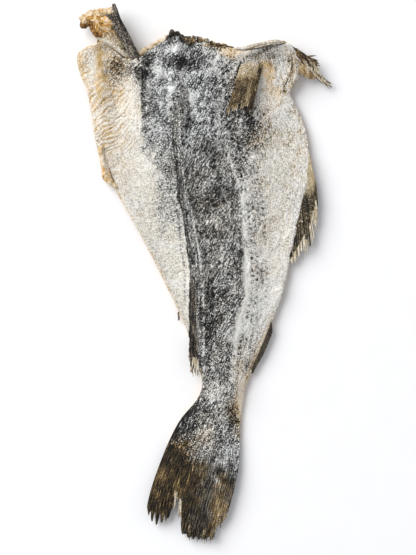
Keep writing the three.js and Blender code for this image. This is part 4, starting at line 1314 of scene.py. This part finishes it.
# Bare straw-coloured rays stick out of the third fin's end.
rng = np.random.default_rng(84)
frayed = []
for x, y, far in [*zip(np.linspace(-12.6, -7, 9), rng.uniform(-93, -88, 9), rng.uniform(14, 21, 9)),
                  (-14.8, -98, 7), (-13.8, -99, 8), (-4.5, -100, 9), (-2, -106, 7)]:
    halfway = (x + rng.uniform(-0.6, 0.4), y - far / 2, 18)
    frayed.append([(x, y, 20), halfway, (x + rng.uniform(-0.6, 1.4), y - far, 13)])
straws = strands("dorsal_rays_frayed", frayed, 0.75, web)
x, y, _ = drawn(straws)
dress(straws, 0.82 + 0.3 * rumple(x, 0.3 * y, 1.6, 85), 0.15, 0.08, 0.06, x, y)
settle(straws, web, "fin")

# ---- Right pectoral fin ----
# The fin was cut short and dried flat on the flank. Its base is horny and gold, its web is dark, its right
# edge is folded over, and its ragged end stands a few millimetres off the skin.

COLUMNS_PER_RAY = 6


def fin(name, root, tip, rays, rows, thick, thin, fray, split, ridge, arch, seed, whole=0):
    """A fin of rays between a root line and a tip line. Each ray ends up to `fray` of its length early, and
    the web between two is torn back by up to `split`, but not over the first `whole` share of the fin.
    Returns it with its points' shares across the fin and out to the tip."""
    rng = np.random.default_rng(seed)
    start, end = line(root), line(tip)
    columns = rays * COLUMNS_PER_RAY
    short = fray * rng.random(rays) * (np.arange(rays) >= whole * rays)
    gap = split * (0.3 + 0.7 * rng.random(rays + 1)) * (np.arange(rays + 1) > whole * rays)
    gap[0] = gap[-1] = 0
    lean = rng.uniform(-0.7, 0.7, rays)

    def top(column, row):
        u, v = column / columns, row / rows
        ray = np.minimum((u * rays).astype(int), rays - 1)
        off = 2 * np.abs(u * rays - ray - 0.5)
        torn = short[ray] + gap[np.rint(u * rays).astype(int)] * off**5
        reach = v * (1 - torn * smooth(v, 0.3, 1))
        wave = 0.012 * lean[ray] * smooth(v, 0.4, 1)
        x, y, z = lerp(start(np.clip(u + wave, 0, 1)), end(np.clip(u + wave, 0, 1)), reach)
        rib = ridge * np.sqrt(1 - off**2) + 0.15 * ridge * rumple(80 * u, 30 * v, 1, seed)
        return x, y, z + arch * np.sin(math.pi * reach) + rib + 0.8 * lean[ray] * smooth(v, 0.6, 1), reach

    def upper(column, row):
        return top(column, row)[:3]

    def lower(column, row):
        x, y, z, reach = top(column, row)
        return x, y, z - lerp(thick, thin, reach)

    j, i = np.mgrid[0:rows + 1, 0:columns + 1].astype(float)
    share, reach = (np.tile(value.ravel(), 2) for value in (i / columns, top(i, j)[3]))
    return sheet(name, columns, rows, upper, lower), share, reach


root = [on_skin(37, 217, 0.6), on_skin(48, 220, 2.4), on_skin(60, 219, 0.8)]
tip = [on_skin(21, 164, 3), on_skin(34, 167, 4.2), on_skin(49, 170, 3.4)]
pectoral, share, reach = fin("pectoral_fin", root, tip, rays=13, rows=70, thick=5, thin=1.4, fray=0.2,
                             split=0.13, ridge=0.8, arch=1.5, seed=83)
x, y, _ = drawn(pectoral)
dark = between(reach, 0.16, 0.4, 0.75, 0.95)
streak = bell(share - 0.72, 0.09) * smooth(reach, 0.2, 0.5)
tone = 0.8 - 0.42 * dark + 0.22 * streak - 0.2 * smooth(share, 0.88, 0.95) + 0.12 * rumple(x, y, 7, 84)
dress(pectoral, tone, 0.34, 0.12, 0.12, share * 28, reach * 50)
settle(pectoral, web, "fin")
root = [on_skin(57, 220, 1.6), on_skin(61, 218, 1.6)]
tip = [on_skin(44.5, 168, 4.6), on_skin(49.5, 170, 4)]
folded, share, reach = fin("pectoral_fin_fold", root, tip, rays=4, rows=60, thick=2, thin=1, fray=0.06,
                           split=0.04, ridge=0.7, arch=2, seed=85)
x, y, _ = drawn(folded)
dress(folded, 0.34 - 0.1 * reach + 0.2 * rumple(x, y, 6, 86), 0.35, 0.14, 0.14, share * 6, reach * 50)
settle(folded, web, "fin")

# ---- Anal fins ----
# Two fins stand out past the right belly edge. The front one is olive and clear near its head end and black
# behind, and the tips of both are split into straw-coloured rays.

FRONT_ROOT = [(110, 126), (109, 117), (108, 110), (106.5, 99), (104, 86), (98.5, 60), (87, 22)]
FRONT_TIP = [
    (112.5, 112, 12), (117.5, 90, 12), (118.8, 64, 11), (116.5, 44, 10.5), (111.5, 28, 10),
    (101.5, 18, 9.5), (90.5, 8, 9),
]
REAR_ROOT = [(69, -47), (65, -57), (59, -70), (52, -86), (47, -100)]
REAR_TIP = [(70.5, -54, 8.5), (71, -63, 8), (66, -77, 7.5), (58.5, -92, 7), (50, -107, 7)]
# Each has its name, root and tip, its rays and rows, how far its rays and its webs are torn back, the share
# of it that is whole, and its seed.
ANAL_FINS = [
    ("anal_fin_front", FRONT_ROOT, FRONT_TIP, 20, 90, 0.2, 0.3, 0.3, 87),
    ("anal_fin_rear", REAR_ROOT, REAR_TIP, 14, 50, 0.06, 0.04, 0, 89),
]
RAY_SPACING, FIN_LONG = 3, 26
for name, base, tip, rays, rows, fray, split, whole, seed in ANAL_FINS:
    root = [(x, y, float(flesh_height(x, y)) + 3.2) for x, y in base]
    anal, share, reach = fin(name, root, tip, rays, rows, thick=2.2, thin=0.9, fray=fray, split=split,
                             ridge=0.6, arch=0.3, seed=seed, whole=whole)
    x, y, _ = drawn(anal)
    front = name == "anal_fin_front"
    olive = front * smooth(y, 75, 92)
    middle = front * between(y, 54, 57, 63, 69)
    which = np.minimum((share * rays).astype(int), rays - 1)
    off = 2 * np.abs(share * rays - which - 0.5)
    sliver = (rumple(which, 0, 1, seed + 1) > -0.35) * smooth(reach, 0.6, 0.68) * (1 - smooth(off, 0.45, 0.9))
    sliver = front * sliver * (1 - smooth(y, 64, 69))
    tone = lerp(0.27, 0.78 - 0.36 * smooth(x - right_edge(y), 5, 10), olive)
    tone = lerp(tone + 0.16 * middle - 0.08 * front * (1 - olive), 0.95, sliver)
    pale_ray = bell(y - 54.5 - 1.2 * rumple(x, 0, 4, 19), 0.9) * (1 - smooth(reach, 0.3, 0.5))
    tone = tone + 0.5 * front * pale_ray + 0.1 * rumple(x, y, 6, seed + 2)
    glint = front * (1 - olive) * (1 - sliver)
    grain, streaked = 0.05 + 0.13 * glint, 0.12 + 0.3 * glint
    dress(anal, tone, 0.12, grain, streaked, share * rays * RAY_SPACING, reach * FIN_LONG)
    settle(anal, web, "fin")

# Its bare rays lie along the front fin's outer edge and stick out of its end.
rng = np.random.default_rng(88)
bare = []
for _ in range(14):
    x, y, z = line(FRONT_TIP)(np.array(rng.uniform(0.3, 0.99)))
    back, past = rng.uniform(9, 19), rng.uniform(0, 4)
    start, halfway = (x - 0.16 * back, y + back, z + 0.9), (x - 1, y + back / 3, z + 1.1)
    bare.append([start, halfway, (x - 0.4, y - past, z)])
straws = strands("anal_rays_bare", bare, 0.85, web)
x, y, _ = drawn(straws)
dress(straws, 0.86 + 0.15 * rumple(x, y, 4, 90), 0.15, 0.08, 0.06, x, y)
settle(straws, web, "fin")

# ---- Shred and tag of belly lining ----
# Two bits of the dried lining hang out at the left belly edge: a long yellow shred, and a small pale tag
# further down.

shred_left = through([
    (134, -111), (128, -112.5), (118, -110.5), (108, -109), (100, -108), (95, -104), (90, -96),
])
shred_right = through([(134, -107), (120, -105), (108, -100), (100, -97), (90, -91)])


def shred_top(x, y, u, v):
    crumple = 1.1 * rumple(x, y, 4, 91) + 0.5 * rumple(x, y, 1.8, 92)
    return 9 + 2.4 * np.sin(math.pi * u) + crumple - 1.5 * smooth(v, 0.8, 1)


shred, u = plank("lining_shred", shred_left, shred_right, (134, 90), 30, 90, shred_top, lens(1, 4))
x, y, _ = drawn(shred)
pale = bell(y - 116, 9) * smooth(u, 0.2, 0.6)
slit = smooth(u, 0.86, 0.97) * between(y, 94, 99, 108, 114)
tone = 0.79 + 0.16 * pale + 0.12 * rumple(x, y, 4, 93) - 0.6 * slit
dress(shred, tone, 0.85 - 0.6 * pale, 0.1, 0.1, x, y)
settle(shred, rancid, "flesh")

tag = lump("lining_tag", [(-27.6, -47, 6, 1.1, 3.4, 1.2), (-28.2, -43, 6.4, 0.9, 2.4, 1)], 2.4, 0.3)
x, y, _ = drawn(tag)
dress(tag, 0.16 + 0.2 * rumple(x, y, 2.6, 94), 0.1, 0.12, 0, x, y)
settle(tag, rancid, "flesh")

# ---- Torn rays of the caudal fin ----
# In the notch between the two lobes and along the ends, bare rays have lost their web and dried to straw.

rng = np.random.default_rng(95)
torn_rays = []
for n in range(16):
    # Every other one stands on the notch's right side, further down.
    right = n % 2
    x, y = rng.uniform(-34, -29) + 6.5 * right, rng.uniform(-236, -228) - 8 * right
    far = rng.uniform(9, 16) + 6 * right
    torn_rays.append([(x, y, 11), (x - 0.5, y - far / 2, 10), (x - rng.uniform(-1.5, 3), y - far, 9.4)])
for _ in range(26):
    u = rng.uniform(0.5, 0.98)
    near, far = rng.uniform(4, 14), rng.uniform(1, 6)
    x, y = lerp(-61, 19, u), float(fin_end(u))
    torn_rays.append([(x + 1.5, y + near, 10), (x + 0.8, y + near / 2, 9.8), (x, y - far, 9.4)])
straws = strands("caudal_rays_torn", torn_rays, 0.7, web)
x, y, _ = drawn(straws)
dress(straws, 0.45 + 0.25 * rumple(x, y, 4, 96) + 0.38 * smooth(-x, 18, 24), 0.1, 0.1, 0.06, x, y)
settle(straws, web, "fin")

# ---- Salt crystals ----
# Coarse salt still clings to the skin: single cubes of half a millimetre to a millimetre, thickest in the
# white bloom over the nape, the back and the tail's base.

# Where the crust is thickest, so many crystals lie on so many square metres.
CRYSTALS, SALTED_AREA = 7500, 0.047
SMALLEST, LARGEST = 0.5, 1.0

bed = in_scene("salt_bed", body.data.copy())
crust = lerp(0.5, 2, veins(body_x, body_y)) * (1.15 - 0.85 * smooth(body_tone, 0.62, 0.86))
crust = crust * (1 - bell(np.hypot(body_x + 64, body_y - 210), 8))
crust = crust * smooth(body_y, -195, -150) * smooth(neck_cut(body_x) - body_y, 1, 4)
crust = crust * (0.12 + 0.88 * smooth(body_tone, 0.22, 0.45))
paint(bed, "crust", on_top * crust / 2)

# Salt: milky, half-clear cubes.
salt, tree, shader = new_material("coarse_sea_salt", 0.35, 0.5)
place = add_node(tree, "ShaderNodeTexCoord").outputs["Object"]
milk = add_node(tree, "ShaderNodeTexNoise", {"Vector": place, "Scale": 1 / (3 * MM), "Detail": 1})
frost = add_node(tree, "ShaderNodeValToRGB", {"Fac": milk.outputs["Fac"]},
                 stops=[(0.35, "#cfd2d3"), (0.6, "#fdfdfc")])
tree.links.new(frost.outputs["Color"], shader.inputs["Base Color"])

tree = bpy.data.node_groups.new("salt_scatter", "GeometryNodeTree")
tree.interface.new_socket("Bed", in_out="INPUT", socket_type="NodeSocketGeometry")
thick = tree.interface.new_socket("Density", in_out="INPUT", socket_type="NodeSocketFloat")
small = tree.interface.new_socket("Smallest", in_out="INPUT", socket_type="NodeSocketFloat")
large = tree.interface.new_socket("Largest", in_out="INPUT", socket_type="NodeSocketFloat")
tree.interface.new_socket("Crystals", in_out="OUTPUT", socket_type="NodeSocketGeometry")
given = add_node(tree, "NodeGroupInput")
salted = add_node(tree, "GeometryNodeInputNamedAttribute", {"Name": "crust"}, data_type="FLOAT")
density = add_node(tree, "ShaderNodeMath", {0: salted.outputs["Attribute"], 1: given.outputs["Density"]},
                   operation="MULTIPLY")
points = add_node(tree, "GeometryNodeDistributePointsOnFaces", {
    "Mesh": given.outputs["Bed"], "Density": density.outputs[0], "Seed": 97,
}, distribute_method="RANDOM")
turned = add_node(tree, "FunctionNodeRandomValue", {0: (0, 0, 0), 1: (6.28, 6.28, 6.28), "Seed": 98},
                  data_type="FLOAT_VECTOR")
sized = add_node(tree, "FunctionNodeRandomValue", {
    2: given.outputs["Smallest"], 3: given.outputs["Largest"], "Seed": 99,
}, data_type="FLOAT")
cube = add_node(tree, "GeometryNodeMeshCube", {"Size": (1, 1, 1)})
grown = add_node(tree, "GeometryNodeInstanceOnPoints", {
    "Points": points.outputs["Points"], "Instance": cube.outputs["Mesh"], "Rotation": turned.outputs[0],
    "Scale": sized.outputs[1],
})
whole = add_node(tree, "GeometryNodeRealizeInstances", {"Geometry": grown.outputs["Instances"]})
coated = add_node(tree, "GeometryNodeSetMaterial", {"Geometry": whole.outputs["Geometry"], "Material": salt})
out = add_node(tree, "NodeGroupOutput")
tree.links.new(coated.outputs["Geometry"], out.inputs["Crystals"])
modifier = bed.modifiers.new("salt", "NODES")
modifier.node_group = tree
modifier[thick.identifier] = CRYSTALS / SALTED_AREA
modifier[small.identifier] = SMALLEST * MM
modifier[large.identifier] = LARGEST * MM
held = bpy.context.evaluated_depsgraph_get()
mesh = bpy.data.meshes.new_from_object(bed.evaluated_get(held))
mesh.name = "salt_crystals"
bpy.data.objects.remove(bed)
crystals = in_scene("salt_crystals", mesh)
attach(crystals, "root")
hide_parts("cod")

# ---- Floor, light and camera ----
# A pale sweep of paper under a bright soft sky, with a wide lamp from the upper left, seen straight from
# above.

# The image in pixels, what a pixel measures at the level of the skin, and where the drawing's origin lies.
IMAGE_WIDE, IMAGE_HIGH = 416, 555
PIXEL = 1.05
ORIGIN_PIXEL = (205, 273)
SKIN_LEVEL, EYE_HEIGHT = 15, 2000
SENSOR = 24
FLOOR_REACH = 3000

floor_mesh = bpy.data.meshes.new("paper_floor")
far = FLOOR_REACH * MM
floor_mesh.from_pydata([(-far, -far, 0), (far, -far, 0), (far, far, 0), (-far, far, 0)], [], [(0, 1, 2, 3)])
floor = in_scene("paper_floor", floor_mesh)
paper, tree, shader = new_material("matt_white_paper", 0.9, 0.1)
place = add_node(tree, "ShaderNodeTexCoord").outputs["Object"]
pulp = add_node(tree, "ShaderNodeTexNoise", {"Vector": place, "Scale": 1 / (30 * MM), "Detail": 2})
white = add_node(tree, "ShaderNodeValToRGB", {"Fac": pulp.outputs["Fac"]},
                 stops=[(0.1, "#f6f6f7"), (0.9, "#f9f9fa")])
tree.links.new(white.outputs["Color"], shader.inputs["Base Color"])
floor_mesh.materials.append(paper)

world = bpy.data.worlds.new("studio_sky")
bpy.context.scene.world = world
world.use_nodes = True
sky = world.node_tree.nodes["Background"]
sky.inputs["Color"].default_value = linear("#fbfcff")
sky.inputs["Strength"].default_value = 0.51

lamp_data = bpy.data.lights.new("softbox", "AREA")
lamp_data.shape = "DISK"
lamp_data.size = 6.5
lamp_data.energy = 545
lamp = in_scene("softbox", lamp_data)
lamp.location = (-4.1, 3.4, 4.4)
lamp.rotation_euler = lamp.location.to_track_quat("Z", "Y").to_euler()

camera_data = bpy.data.cameras.new("camera")
camera_data.sensor_fit = "VERTICAL"
camera_data.sensor_height = SENSOR
camera_data.lens = SENSOR * EYE_HEIGHT / (IMAGE_HIGH * PIXEL)
camera = in_scene("camera", camera_data)
middle_x = (IMAGE_WIDE / 2 - ORIGIN_PIXEL[0]) * PIXEL
middle_y = (ORIGIN_PIXEL[1] - IMAGE_HIGH / 2) * PIXEL
camera.location = ((middle_x + SHIFT[0]) * MM, (middle_y + SHIFT[1]) * MM, (EYE_HEIGHT + SKIN_LEVEL) * MM)
bpy.context.scene.camera = camera
bpy.context.scene.view_settings.view_transform = "Standard"
